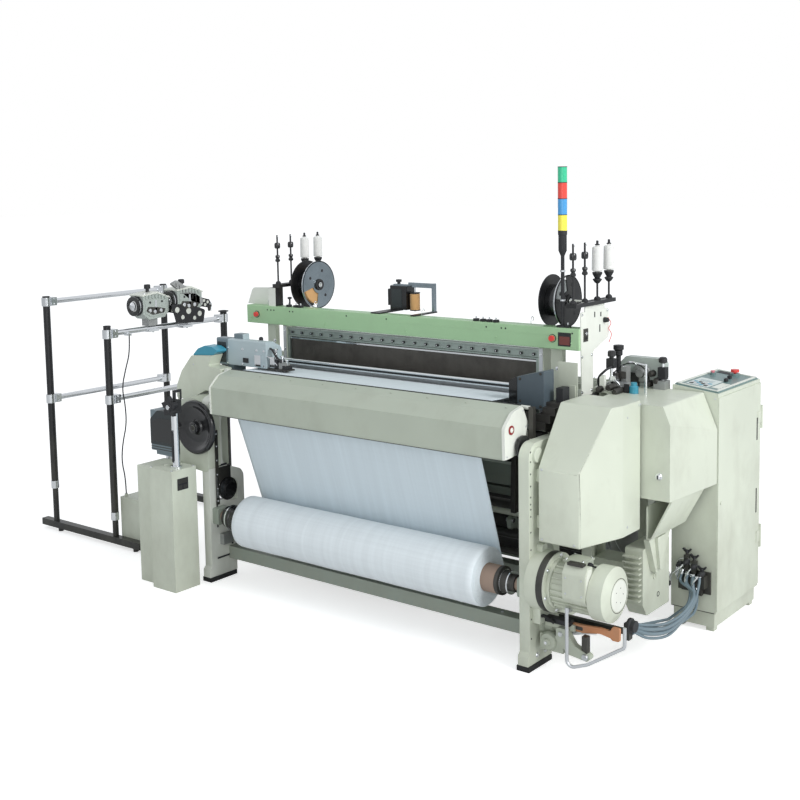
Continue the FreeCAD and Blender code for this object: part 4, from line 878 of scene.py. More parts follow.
@dataclass
class ClothRun:
    """The cloth from its fell over the nose bar, round the take-up roller and to the roll."""

    lift: float = 1.3
    fell: Point = (458.0, 1162.0)
    nose: Roller = Roller(138, 1175, 9)
    take_up: Roller = Roller(230, 990, -60)
    guide: Roller = Roller(45, 995, 25)
    roll: Roller = Roller(60, 372, -140)
    wide_at_fell: tuple[float, float] = (-2029.0, -311.0)
    wide_at_roll: tuple[float, float] = (-1839.0, -271.0)
    columns: int = 84

    def grown(self, roller: Roller) -> Roller:
        """The roller with the cloth's own lift added to it."""
        return Roller(roller.depth, roller.height,
                      roller.radius + math.copysign(self.lift, roller.radius))

    def build(self) -> bpy.types.Object:
        """Weaves one grid along the line, narrowing to the roll, with soft tension folds.

        Returns:
            The finished piece.
        """
        stations = [Roller(*self.fell, 0.0)] + [self.grown(r) for r in
                                                (self.nose, self.take_up, self.guide, self.roll)]
        line = belt(stations)
        lengths = [0.0]
        for (ay, az), (by, bz) in zip(line, line[1:]):
            lengths.append(lengths[-1] + math.hypot(by - ay, bz - az))
        total = lengths[-1]
        made = bmesh.new()
        rows = []
        for index, (y, z) in enumerate(line):
            ay, az = line[max(index - 1, 0)]
            by, bz = line[min(index + 1, len(line) - 1)]
            span = math.hypot(by - ay, bz - az) or 1.0
            normal = (-(bz - az) / span, (by - ay) / span)
            share = min(1.0, max(0.0, lengths[index] / total)) ** 0.4
            left = self.wide_at_fell[0] + (self.wide_at_roll[0] - self.wide_at_fell[0]) * share
            right = self.wide_at_fell[1] + (self.wide_at_roll[1] - self.wide_at_fell[1]) * share
            free = math.sin(math.pi * min(1.0, max(0.0, (share - 0.70) / 0.29))) ** 2
            row = []
            for step in range(self.columns + 1):
                u = step / self.columns
                fold = (math.sin(u * 37 + share * 9) + 0.6 * math.sin(u * 71 - share * 5)) * 0.9
                off = fold * free
                row.append(made.verts.new(at((left + (right - left) * u, y + normal[0] * off,
                                              z + normal[1] * off))))
            rows.append(row)
        for first, second in zip(rows, rows[1:]):
            for step in range(self.columns):
                face = made.faces.new((first[step], first[step + 1], second[step + 1],
                                       second[step]))
                face.smooth = True
        area = sum(face.calc_area() for face in made.faces)
        mesh = bpy.data.meshes.new("cloth_mesh")
        made.to_mesh(mesh)
        made.free()
        mesh.materials.append(CLOTH.make())
        piece = bpy.data.objects.new("woven_cloth", mesh)
        bpy.context.scene.collection.objects.link(piece)
        body = piece.modifiers.new("body", "SOLIDIFY")
        body.thickness = 0.0011
        body.offset = 0
        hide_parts("cloth")
        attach(piece, Body.LOOM.value)
        return piece


@dataclass
class WoundRoll:
    """Cloth wound on its tube: a slightly uneven barrel and ends that show the layers."""

    depth: float = 60.0
    height: float = 372.0
    radius: float = 140.0
    core: float = 66.4
    left: float = -1830.0
    wide: float = 1568.0
    layers: int = 22

    def build(self) -> bpy.types.Object:
        """Turns the barrel with soft bands, and steps the ends layer by layer.

        Returns:
            The finished piece.
        """
        shop = Shop("cloth_winding", Body.CLOTH_ROLL, "cloth")
        pitch = (self.radius - 6 - self.core) / self.layers
        end = []
        for index in range(self.layers):
            near = self.core + pitch * index
            out = 1.6 * math.sin(index * 2.3) + 0.8 * math.sin(index * 5.1)
            end += [(near, 3 + out), (near + pitch * 0.72, 3 + out), (near + pitch * 0.86, 5.4)]
        barrel = []
        bands = 46
        for index in range(bands + 1):
            share = index / bands
            swell = 0.5 * math.sin(share * 19) + 0.35 * math.sin(share * 47 + 1)
            barrel.append((self.radius - 0.9 + swell * 0.9, 7 + (self.wide - 14) * share))
        profile = [(self.core, 8.0)] + end + [(self.radius - 4, 3.5)] + barrel
        profile += [(radius if radius < self.radius - 3 else self.radius - 4,
                     self.wide - height) for radius, height in [(self.radius - 4, 3.5)] + end[::-1]]
        profile += [(self.core, self.wide - 8.0)]
        shop.lathe(CLOTH_ROLL, (self.left, self.depth, self.height), Axis.X, profile, 96)
        return shop.done(edge=0, replaces=("cloth_roll",), crease=50)


@dataclass
class Cone:
    """A selvedge yarn cone: a wound body on its tube, with a crown at each end."""

    spots: tuple[Point, ...] = ((-42, 690, 1752.3), (-42, 805, 1752.3), (-2050, 795, 1752.3),
                                (-2050, 910, 1752.3))
    low: float = 26.9
    high: float = 25.2
    tall: float = 128.0
    bore: float = 3.4

    def build(self) -> bpy.types.Object:
        """Winds the cones, thread by thread in a soft zigzag.

        Returns:
            The finished piece.
        """
        shop = Shop("wound_cones", Body.LOOM, "yarn")
        for spot in self.spots:
            profile = [(self.bore, 0), (11, 0), (11, 3), (self.low - 6, 4)]
            rows = 30
            for index in range(rows + 1):
                share = index / rows
                swell = 0.35 if index % 2 else -0.25
                profile.append((self.low + (self.high - self.low) * share + swell,
                                7 + (self.tall - 18) * share))
            profile += [(self.high - 7, self.tall - 6), (9, self.tall - 4), (9, self.tall),
                        (self.bore, self.tall)]
            shop.lathe(WHITE_YARN, spot, Axis.Z, profile, 36)
        return shop.done(edge=0, replaces=("yarn_cones",), crease=70)


@dataclass
class WarpWinding:
    """Warp yarn wound between the beam's flanges."""

    depth: float = 1250.0
    height: float = 480.0
    radius: float = 285.4
    left: float = -2014.0
    right: float = -112.0

    def build(self) -> bpy.types.Object:
        """Turns a tightly ridged barrel that lies on the beam's own one.

        Returns:
            The finished piece.
        """
        shop = Shop("warp_winding", Body.WARP, "yarn")
        wide = self.right - self.left
        bands = 150
        profile = [(self.radius - 3, 0)]
        for index in range(bands + 1):
            lift = 1.1 if index % 2 else 0.3
            profile.append((self.radius + lift, 0.5 + (wide - 1) * index / bands))
        profile.append((self.radius - 3, wide))
        shop.lathe(WARP_YARN, (self.left, self.depth, self.height), Axis.X, profile, 72, looped=True)
        return shop.done(edge=0, crease=70)


@dataclass
class FeederCable:
    """Thin cable from the rail's clip down to the gland of the box below."""

    route: tuple[Point, ...] = (
        (-3020, 252, 1286), (-3020, 252, 1184), (-3006, 202, 1086), (-3002, 166, 976),
        (-3010, 192, 868), (-2998, 186, 750), (-2994, 148, 642), (-3004, 142, 526),
        (-2996, 160, 420), (-2996, 160, 325))
    thick: float = 8.0
    length: float = 0.985

    def build(self) -> bpy.types.Object:
        """Draws the cable on one smooth line.

        Returns:
            The finished piece.
        """
        data = bpy.data.curves.new("feeder_cable", "CURVE")
        data.dimensions = "3D"
        data.resolution_u = 8
        data.bevel_depth = self.thick / 2 * MM
        data.bevel_resolution = 3
        data.use_fill_caps = True
        spline = data.splines.new("NURBS")
        spline.points.add(len(self.route) - 1)
        for point, place in zip(spline.points, self.route):
            point.co = (*at(place), 1.0)
        spline.order_u = 3
        spline.use_endpoint_u = True
        data.materials.append(MATT.make())
        cable = bpy.data.objects.new("feeder_cable", data)
        bpy.context.scene.collection.objects.link(cable)
        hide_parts("creel_cable")
        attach(cable, Body.LOOM.value)
        LOG.info("hung feeder cable")
        return cable


# ---------------------------------------------------------------------------------------------
# Shedding and beat-up


@dataclass
class HealdFrame:
    """A heald frame: bright staves, side stays, a row of square plates and dense healds."""

    node: str
    body: Body
    front: float
    plates: bool
    left: float = -1975.0
    right: float = -285.0
    top: float = 1372.0
    tall: float = 440.0
    stave: float = 48.0
    thick: float = 22.0
    healds: int = 400

    def build(self) -> bpy.types.Object:
        """Puts staves, stays, healds and the plates together.

        Returns:
            The finished piece.
        """
        shop = Shop(f"{self.node}_full", self.body, "aluminium")
        wide = self.right - self.left
        low = self.top - self.tall
        section = [(0, 0), (1, 0), (1, 0.16), (0.72, 0.2), (0.72, 0.8), (1, 0.84), (1, 1), (0, 1)]
        for foot, flip in ((self.top - self.stave, False), (low, True)):
            points = [(self.front + self.thick * (1 - a), foot + self.stave * (1 - b if flip else b))
                      for a, b in section]
            shop.prism(STAVE, Axis.X, points, self.left, wide)
        for x in (self.left, self.right - 18):
            shop.block(STAVE, (x, self.front, low + self.stave),
                (18, self.thick, self.tall - self.stave * 2))
        for z in (low + self.stave + 6, self.top - self.stave - 14):
            shop.block(BRIGHT, (self.left + 18, self.front + 8, z), (wide - 36, 5, 8))
        pitch = (wide - 44) / self.healds
        for index in range(self.healds):
            x = self.left + 22 + pitch * (index + 0.5)
            lean = 0.5 * math.sin(index * 12.9)
            shop.block(HEALD, (x - 1.0 + lean, self.front + 9, low + self.stave + 4),
                (2.2, 3.2, self.tall - self.stave * 2 - 8))
            shop.block(BRIGHT, (x - 1.3 + lean, self.front + 8.4, self.top - self.tall / 2 - 6),
                (2.8, 4.4, 12))
        if self.plates:
            count = 23
            for index in range(count):
                x = self.left + 34 + (wide - 68) * index / (count - 1)
                shop.block(MATT, (x - 7, self.front - 1.0, self.top - 31), (14, 3.4, 13))
                shop.rod(BRIGHT, (x, self.front - 2.2, self.top - 24.5), Axis.Y, 3.4, 0, 2, 8)
        return shop.done(edge=0, replaces=(self.node,))


@dataclass
class Reed:
    """The reed: a bright cap, a black foot and dents as close as they can be drawn."""

    left: float = -1963.0
    right: float = -297.0
    top: float = 1206.0
    tall: float = 126.0
    depth: float = 470.0
    dents: int = 420

    def build(self) -> bpy.types.Object:
        """Puts the cap, the foot and the dents together.

        Returns:
            The finished piece.
        """
        shop = Shop("full_reed", Body.SLEY, "bright_steel")
        wide = self.right - self.left
        low = self.top - self.tall
        shop.prism(BRIGHT, Axis.X, outline((self.depth - 4, self.top - 26, 1.5),
            (self.depth + 4, self.top - 26, 1.5), (self.depth + 4, self.top - 1, 3.5),
            (self.depth - 4, self.top - 1, 3.5)), self.left, wide)
        shop.block(MATT, (self.left, self.depth - 4, low), (wide, 8, 20))
        pitch = (wide - 12) / self.dents
        for index in range(self.dents):
            x = self.left + 6 + pitch * (index + 0.5)
            shop.block(GROUND, (x - 0.9, self.depth - 2.4, low + 18), (1.5, 4.8, self.tall - 42))
        for x in (self.left, self.right - 8):
            shop.block(BRIGHT, (x, self.depth - 4, low + 2), (8, 8, self.tall - 6))
        return shop.done(edge=0, replaces=("reed",))


@dataclass
class DropWires:
    """Drop wires that hang on the bars behind the healds."""

    left: float = -2040.0
    right: float = -80.0
    count: int = 300

    def build(self) -> bpy.types.Object:
        """Hangs one thin plate after another on each bar.

        Returns:
            The finished piece.
        """
        shop = Shop("drop_wires", Body.LOOM, "bright_steel")
        pitch = (self.right - self.left) / self.count
        for index in range(self.count):
            x = self.left + pitch * (index + 0.5)
            bar = index % 4
            y = 934 + 60 * bar
            shop.block(BRIGHT, (x, y - 5.4, 1066 + 4 * math.sin(index * 7.7)), (0.9, 10.8, 90))
        return shop.done(edge=0)


@dataclass
class TopBeamFittings:
    """Fittings of the top beam: screws, holes, yarn eyes, small clamps and a capped post."""

    front: float = 500.0
    low: float = 1391.0
    tall: float = 104.0
    left: float = -2245.0
    right: float = -36.0

    def build(self) -> None:
        """Screws the fittings to the beam's face and upper flange."""
        shop = Shop("beam_fittings", Body.LOOM, "black_plastic")
        high = self.low + self.tall
        for x in (-2080, -2052, -2028, -1905, -1880, -1480, -1200, -560, -470, -446, -70):
            shop.rod(MATT, (x, self.front - 0.4, high - 22), Axis.Y, 4.4, 0.6, -0.6, 12)
        for x in (-2210, -1640, -1070, -500, -75):
            for z in (self.low + 20, high - 70):
                shop.turned(GREEN, (x, self.front, z), Axis.Y, [(3.6, -2.4), (5, -1.0), (5, 0.2)], 12)
        for x in (-1935, -1880, -1845, -640, -598, -560, -520, -110):
            shop.block(MATT, (x - 11, self.front + 16, high), (22, 26, 13))
            shop.rod(BRIGHT, (x, self.front + 29, high + 12), Axis.Z, 4, 0, 12, 12)
        shop.lathe(MATT, (-1930, self.front + 30, high + 10), Axis.Z, [(0, 0), (5, 0), (5, 34),
            (12, 36), (12, 46), (0, 48)], 14)
        for x in (-2120, -1760, -1000, -330):
            shop.pipe(BRIGHT, [(x, self.front + 50, high), (x, self.front + 50, high + 24),
                (x, self.front + 62, high + 38), (x, self.front + 74, high + 26),
                (x, self.front + 66, high + 14)], 1.8, 8)
        shop.done(edge=0.3)


@dataclass
class HealdDrive:
    """Side guides of the heald frames, with bright wear strips and their bolts."""

    front: float = 546.0

    def build(self) -> None:
        """Lays strips on the guides and bolts them down."""
        shop = Shop("guide_strips", Body.LOOM, "ground_steel")
        for x in (-2003.3, -284.7):
            shop.block(GROUND, (x + 4, self.front - 3, 910), (20, 3, 470))
            for z in (940, 1040, 1250, 1350):
                shop.bolt((x + 14, self.front - 3, z), Axis.Y, 5, -4)
        for x in (-2070, -180):
            for z in (1060, 1140, 1290):
                shop.bolt((x, 545.1, z), Axis.Y, 7, -5)
        shop.done(edge=0.3)


# ---------------------------------------------------------------------------------------------
# Selvedge yarn and weft supply


@dataclass
class YarnReel:
    """A selvedge reel: two flanges, one with an open sector, wound yarn and a raised hub."""

    node: str
    body: Body
    face: float
    inward: float
    depth: float
    flange: float
    front: Finish
    yarn: Finish
    height: float = 1608.0
    wide: float = 96.0
    open_from: float = 195.0
    open_to: float = 262.0

    def sector(self, shop: Shop, start: float, thick: float, low: float, high: float,
               first: float, last: float) -> None:
        """Part of a ring about the axle, between two angles in degrees.

        Args:
            shop: Piece that it goes into.
            start: Where it starts along the axle.
            thick: Its thickness.
            low: Inner radius.
            high: Outer radius.
            first: First angle.
            last: Last angle.
        """
        steps = 40
        points = []
        for radius, order in ((high, 1), (low, -1)):
            run = [first + (last - first) * i / steps for i in range(steps + 1)][::order]
            points += [(self.depth + radius * math.cos(math.radians(a)),
                        self.height + radius * math.sin(math.radians(a))) for a in run]
        shop.prism(self.front, Axis.X, points, start, thick)

    def build(self) -> bpy.types.Object:
        """Puts the flanges, the yarn and the hub together.

        Returns:
            The finished piece.
        """
        shop = Shop(f"{self.node}_full", self.body, "slate_paint")
        out = self.inward
        place = (self.face, self.depth, self.height)
        back = out * self.wide
        shop.lathe(BLACK, (self.face + back, self.depth, self.height), Axis.X, [(8.3, 0),
            (self.flange, 0), (self.flange, -out * 5), (60, -out * 5), (56, -out * 12),
            (8.3, -out * 12)], 64)
        rows = [(9, out * 6)]
        for index in range(11):
            swell = 1.2 if index % 2 else 0.0
            rows.append((self.flange * 0.80 + swell, out * (7 + 22 * index / 10)))
        rows.append((9, out * 30))
        shop.lathe(self.yarn, place, Axis.X, rows, 56)
        shop.lathe(GLOSS, place, Axis.X, [(9, out * 28), (self.flange * 0.62, out * 30),
            (self.flange * 0.62, out * (self.wide - 6)), (9, out * (self.wide - 6))], 48)
        shop.lathe(BRIGHT, place, Axis.X, [(self.flange - 0.4, out * 0.6), (self.flange - 0.4, out * 9),
            (self.flange - 5, out * 9), (self.flange - 5, out * 0.6)], 64, looped=True)
        first, last = self.open_to, self.open_from + 360
        start = self.face if out > 0 else self.face - 5
        self.sector(shop, start, 5, 46, self.flange, first, last)
        shop.lathe(self.front, place, Axis.X, [(self.flange - 6, 0), (self.flange, 0),
            (self.flange, out * 5), (self.flange - 6, out * 5)], 64, looped=True)
        shop.lathe(self.front, place, Axis.X, [(8.4, -out * 0.2), (50, -out * 0.2), (50, out * 6),
            (8.4, out * 6)], 40)
        shop.lathe(GLOSS, place, Axis.X, [(20, -out * 0.2), (20, -out * 9), (32, -out * 9),
            (34, -out * 0.2)], 32)
        shop.lathe(BRIGHT, place, Axis.X, [(9.0, -out * 0.2), (9.0, -out * 12), (15, -out * 12),
            (15, -out * 0.2)], 24)
        for angle in (70, 150, 310):
            spot = (self.face, self.depth + 84 * math.cos(math.radians(angle)),
                    self.height + 84 * math.sin(math.radians(angle)))
            shop.rod(MATT, spot, Axis.X, 9, -out * 0.6, out, 16)
        return shop.done(edge=0.3, replaces=(self.node,))


@dataclass
class YarnStandDetails:
    """Tension discs, eyes and bases on the guide rods and spindles of both yarn stands."""

    bar_top: float = 1618.0

    def build(self) -> None:
        """Threads the fittings onto the rods."""
        shop = Shop("stand_fittings", Body.LOOM, "black_plastic")
        for across, first in ((-42, 460), (-2050, 565)):
            for index in range(2):
                y = first + 110 * index
                place = (across, y, self.bar_top)
                shop.lathe(MATT, place, Axis.Z, [(5.2, 0), (15, 0), (15, 9), (9, 16), (5.2, 16)], 18)
                shop.lathe(GLOSS, place, Axis.Z, [(5.2, 126), (13, 130), (15, 138), (9, 148), (14, 156),
                    (12, 166), (5.2, 168)], 20)
                shop.lathe(GLOSS, place, Axis.Z, [(14.2, 206), (17, 212), (17, 230), (14.2, 237)], 20)
                shop.pipe(BRIGHT, [(across, y, self.bar_top + 281),
                    (across + 8, y - 4, self.bar_top + 276), (across + 16, y - 8, self.bar_top + 268)],
                    1.6, 8)
            for index in range(2):
                y = first + 230 + 115 * index
                place = (across, y, self.bar_top)
                shop.lathe(MATT, place, Axis.Z, [(5.2, 0), (16, 0), (16, 8), (10, 15), (5.2, 15)], 18)
                shop.lathe(MATT, place, Axis.Z, [(5.2, 78), (12, 82), (22, 96), (22, 100), (12, 104),
                    (24, 125), (5.2, 125.6)], 22)
                shop.lathe(MATT, (across, y, 1752), Axis.Z, [(3.2, 129), (12, 129), (12, 133), (6, 135),
                    (6, 150), (0, 152)], 16)
        shop.block(GLOSS, (-1303, 664, 1504), (112, 74, 130))
        shop.block(CHARCOAL, (-1292, 662, 1516), (70, 3, 100))
        shop.rod(BRIGHT, (-1160, 701, 1496), Axis.Z, 5, 0, 133, 16)
        shop.lathe(TAN_YARN, (-1160, 701, 1496), Axis.Z, [(5.2, 8), (27, 10), (27, 96), (5.2, 98)], 28)
        for z in (1501, 1595):
            shop.lathe(MATT, (-1160, 701, z), Axis.Z, [(5.2, 0), (29, 0), (29, 4), (5.2, 4)], 28)
        shop.block(CHROME, (-1192, 684, 1641.4), (176, 14, 12))
        shop.lathe(MATT, (-1270, 701, 1641), Axis.Z, [(0, 0), (9, 0), (9, 10), (16, 12), (16, 24),
            (0, 26)], 20)
        shop.pipe(RED, [(-30, 774, 1524), (-20, 786, 1496), (-26, 776, 1470), (-18, 788, 1440),
            (-28, 780, 1400)], 1.8, 8)
        shop.done(edge=0.2)


@dataclass
class WeftFeeder:
    """A weft feeder: case with chamfered foot, lid, yarn drum, knob and perforated arm."""

    x: float
    y: float
    low: float

    def build_into(self, shop: Shop) -> None:
        """Adds this feeder to a piece.

        Args:
            shop: Piece that it goes into.
        """
        x, y, low = self.x, self.y, self.low
        right = x + 62
        case = outline((y + 4, low + 38, 10), (y + 50, low + 2, 12), (y + 176, low + 8, 14),
            (y + 206, low + 44, 10), (y + 208, low + 128, 8), (y + 120, low + 166, 20),
            (y + 4, low + 156, 14))
        shop.prism(FEEDER, Axis.X, case, x - 58, 116)
        lid = outline((y - 2, low + 158, 3), (y + 118, low + 172, 3), (y + 216, low + 132, 3),
            (y + 214, low + 124, 3), (y + 116, low + 160, 3), (y - 2, low + 148, 3))
        shop.prism(WHITE, Axis.X, lid, x - 62, 124)
        shop.prism(FEEDER, Axis.X, outline((y + 20, low + 44, 8), (y + 60, low + 20, 8),
            (y + 170, low + 24, 8), (y + 188, low + 48, 8), (y + 188, low + 118, 8),
            (y + 20, low + 132, 8)), x + 57, 4)
        shop.block(BRIGHT, (right - 2, y + 96, low + 42), (3, 14, 78))
        for step in (58, 152):
            shop.turned(MATT, (right - 1.5, y + step, low + 108), Axis.X, [(7, 0), (7, 3), (4, 4.5)],
                16)
        shop.lathe(MATT, (x, y, low + 88), Axis.Y, [(34, 4), (62, 2), (62, -8), (34, -8)], 40,
            looped=True)
        shop.ring(BRIGHT, (x, y, low + 88), Axis.Y, 34, 58, -8, -18, 40)
        shop.lathe(GLOSS, (x, y, low + 88), Axis.Y, [(34, -18), (61, -18), (60, -28), (40, -30),
            (34, -24)], 40, looped=True)
        for step in range(7):
            shop.block(FEEDER, (right - 3, y + 24 + 25 * step, low + 132 - 3 * max(0, step - 3)),
                (6, 12, 22))
        shop.prism(IRON, Axis.X, outline((y + 26, low + 56, 6), (y + 76, low + 30, 6),
            (y + 164, low + 36, 6), (y + 180, low + 60, 6), (y + 120, low + 74, 10),
            (y + 40, low + 82, 6)), x + 60, 3)
        for step, up in ((54, 58), (92, 48), (140, 52)):
            shop.turned(BRIGHT, (x + 62, y + step, low + up), Axis.X, [(12, 0), (12, 3), (8, 4)], 20)
        shop.rod(WHITE_YARN, (x, y, low + 88), Axis.Y, 33, 0, -20, 32)
        shop.turned(BRIGHT, (x, y, low + 88), Axis.Y, [(26, -18), (26, -32), (20, -36)], 32)
        shop.turned(MATT, (x, y + 90, low + 165), Axis.Z, [(11, 0), (11, 22), (20, 24), (20, 46),
            (16, 50)], 20)
        shop.rod(BRIGHT, (x + 30, y + 40, low + 158), Axis.Z, 9, 0, 8, 16)
        for side in (-34, 30):
            arm = outline((y + 198, low + 96, 8), (y + 198, low + 34, 8), (y + 292, low + 14, 20),
                (y + 300, low + 66, 20))
            shop.prism(MATT, Axis.X, arm, x + side, 6)
            for step, up in ((218, 76), (222, 48), (246, 66), (254, 38), (276, 54)):
                shop.rod(WHITE, (x + side, y + step, low + up), Axis.X, 10, -0.8, 6.8, 20)
        hook = outline((y + 286, low + 64, 6), (y + 330, low + 40, 12), (y + 326, low + 4, 8),
            (y + 306, low - 14, 4), (y + 302, low + 24, 6), (y + 282, low + 34, 6))
        shop.prism(IRON, Axis.X, hook, x + 4, 14)
        shop.pipe(BRIGHT, [(x + 20, y + 300, low + 70), (x + 20, y + 322, low + 30),
            (x + 20, y + 318, low - 10)], 4, 10)
        shop.rod(BRIGHT, (x - 40, y + 290, low + 40), Axis.X, 5, 0, 84, 14)
        shop.block(CAST, (x - 34, y + 66, 1326), (68, 68, low - 1322))
        shop.block(BRIGHT, (x - 38, y + 60, 1290), (76, 80, 16))
        for bolt_x in (-28, 28):
            shop.bolt((x + bolt_x, y + 100, 1290), Axis.Z, 6, -6)


@dataclass
class WeftFeeders:
    """Both weft feeders on the upper rail, with the clamp at its far end."""

    def build(self) -> bpy.types.Object:
        """Builds both feeders as one piece.

        Returns:
            The finished piece.
        """
        shop = Shop("full_feeders", Body.LOOM, "aluminium")
        for place in ((-3055, 345, 1368), (-3029, 600, 1382)):
            WeftFeeder(*place).build_into(shop)
        lattice = outline((548, 1452, 10), (700, 1440, 10), (830, 1392, 14), (812, 1312, 10),
            (700, 1322, 10), (584, 1334, 10))
        shop.prism(MATT, Axis.X, lattice, -2971, 3.6)
        for y, z, wide in ((596, 1412, 18), (640, 1362, 14), (690, 1398, 20), (738, 1348, 13),
            (782, 1372, 17)):
            shop.rod(WHITE, (-2968, y, z), Axis.X, wide, 0.9, 0)
        plate = outline((556, 1580, 6), (606, 1598, 6), (816, 1462, 6), (814, 1436, 6), (750, 1434, 6))
        shop.prism(CAST, Axis.X, plate, -2990, 22)
        for step in range(7):
            shop.block(IRON, (-2968, 592 + 27 * step, 1556 - 17 * step), (1, 4, 26))
        return shop.done(edge=0.8, replaces=("weft_feeders",))


@dataclass
class CreelFittings:
    """Clamp screws, rail collars, tube ends and black foot caps of the weft stand."""

    front: float = 107.0
    rear: float = 1060.0

    def build(self) -> None:
        """Adds the fittings to all four posts."""
        shop = Shop("stand_clamps", Body.LOOM, "aluminium")
        for x, heights, joint in ((-3640, (1475, 857), 300), (-3045, (911, 1310), 190)):
            for y, way in ((self.front, 1), (self.rear, -1)):
                for z in heights:
                    for up in (-17, 17):
                        shop.bolt((x + 26, y + way * 44, z + up), Axis.X, 5, 6)
                    shop.ring(BRIGHT, (x, y, z), Axis.Z, 22.2, 29, -27, 27, 28)
                shop.ring(BRIGHT, (x, y, joint), Axis.Z, 22.2, 24.5, -24, 24, 28)
                top = 1510 if x < -3300 else 1360
                shop.turned(MATT, (x, y, top), Axis.Z, [(23.4, -6), (23.4, -1), (20, 0)], 24)
        shop.lathe(MATT, (-3045, self.rear, 1330), Axis.Z, [(16, 20), (34, 22), (34, 28), (14, 30)], 24)
        shop.done(edge=0.4)


# ---------------------------------------------------------------------------------------------
# Drive side, cabinet and panel


@dataclass
class DriveDetails:
    """Screws, lock knob, seams and the clutch's dark band on the drive side."""

    def build(self) -> None:
        """Adds the fittings of the covers, clutch, motor and gearbox."""
        shop = Shop("drive_fittings", Body.LOOM, "ground_steel")
        shop.turned(BRIGHT, (395, 472, 855), Axis.Y, [(17, 1), (17, -4), (13, -6), (13, -16), (9, -18)],
            28)
        shop.block(MATT, (392, 452.5, 846), (6, 2, 18))
        shop.lathe(BRIGHT, (309, 440, 1180), Axis.X, [(0, 0), (7, 0), (7, 9), (0, 11)], 18)
        for x, z in ((48, 614), (48, 930), (212, 614)):
            shop.turned(GROUND, (x, 28, z), Axis.Y, [(4, -2.2), (5.5, -0.4), (5.5, 0.5)], 16)
        for z in (640, 1140):
            shop.lathe(GROUND, (310.4, 330, z), Axis.X, [(0, 1.6), (5, 1.4), (6, 0), (0, 0)], 16)
        shop.prism(MATT, Axis.X, circle(85, 412, 128, 48), 84, 12)
        shop.lathe(BLACK, (0, 85, 412), Axis.X, [(135.2, 60), (136.5, 62), (136.5, 92), (135.2, 94)],
            56, looped=True)
        for index in range(6):
            angle = math.radians(60 * index + 20)
            shop.bolt((100, 85 + 122 * math.cos(angle), 412 + 122 * math.sin(angle)), Axis.X, 7, 6)
        shop.lathe(IRON, (400.2, 85, 412), Axis.X, [(72, -1.5), (74, 0.4), (76, 0.2), (78, -2)], 56,
            looped=True)
        shop.lathe(WHITE, (399.6, 85, 412), Axis.X, [(0, 2.4), (60, 2.2), (68, 1.2), (69, 0), (0, 0)],
            56)
        for index in range(5):
            angle = math.radians(72 * index)
            shop.rod(MATT, (401.6, 85 + 34 * math.cos(angle), 412 + 34 * math.sin(angle)), Axis.X, 2.6,
                0, 0.7, 10)
        box = outline((24, 374, 6), (24, 540, 6), (-14, 548, 16), (-42, 510, 18), (-42, 398, 20),
            (-12, 366, 14))
        shop.prism(CREAM, Axis.X, box, 192, 112)
        shop.prism(WHITE, Axis.X, outline((14, 384, 5), (14, 530, 5), (-12, 536, 12), (-33, 504, 14),
            (-33, 404, 16), (-8, 377, 10)), 303.4, 2.6)
        for x in (208, 286):
            for z in (420, 490):
                shop.lathe(GROUND, (x, -42, z), Axis.Y, [(0, -3), (4, -2.6), (5, 0.4), (0, 0.4)], 14)
        shop.block(IRON, (210, -30, 545), (76, 30, 12))
        for index in range(24):
            angle = 2 * math.pi * index / 24
            if abs(math.sin(angle / 2 - math.pi / 4)) < 0.2:
                continue
            y = 85 + 101 * math.cos(angle)
            z = 412 + 101 * math.sin(angle)
            shop.prism(CREAM, Axis.X, [(y + 2.0 * math.sin(angle), z - 2.0 * math.cos(angle)),
                (y - 2.0 * math.sin(angle), z + 2.0 * math.cos(angle)),
                (85 + 111 * math.cos(angle) - 2 * math.sin(angle),
                412 + 111 * math.sin(angle) + 2 * math.cos(angle)),
                (85 + 111 * math.cos(angle) + 2 * math.sin(angle),
                412 + 111 * math.sin(angle) - 2 * math.cos(angle))], 120, 184)
        shop.block(SAGE, (158, 42, 505), (94, 86, 30))
        shop.block(SAGE, (154, 38, 534), (102, 94, 9))
        for x, y in ((162, 46), (246, 46), (162, 124), (246, 124)):
            shop.bolt((x, y, 543), Axis.Z, 4.5, 4)
        shop.turned(MATT, (252, 85, 520), Axis.X, [(13, 0), (13, 10), (9, 20)], 18)
        shop.pipe(MATT, [(270, 85, 520), (300, 86, 516), (322, 100, 500), (326, 150, 470),
            (300, 200, 440)], 5, 10)
        shop.done(edge=0.3)


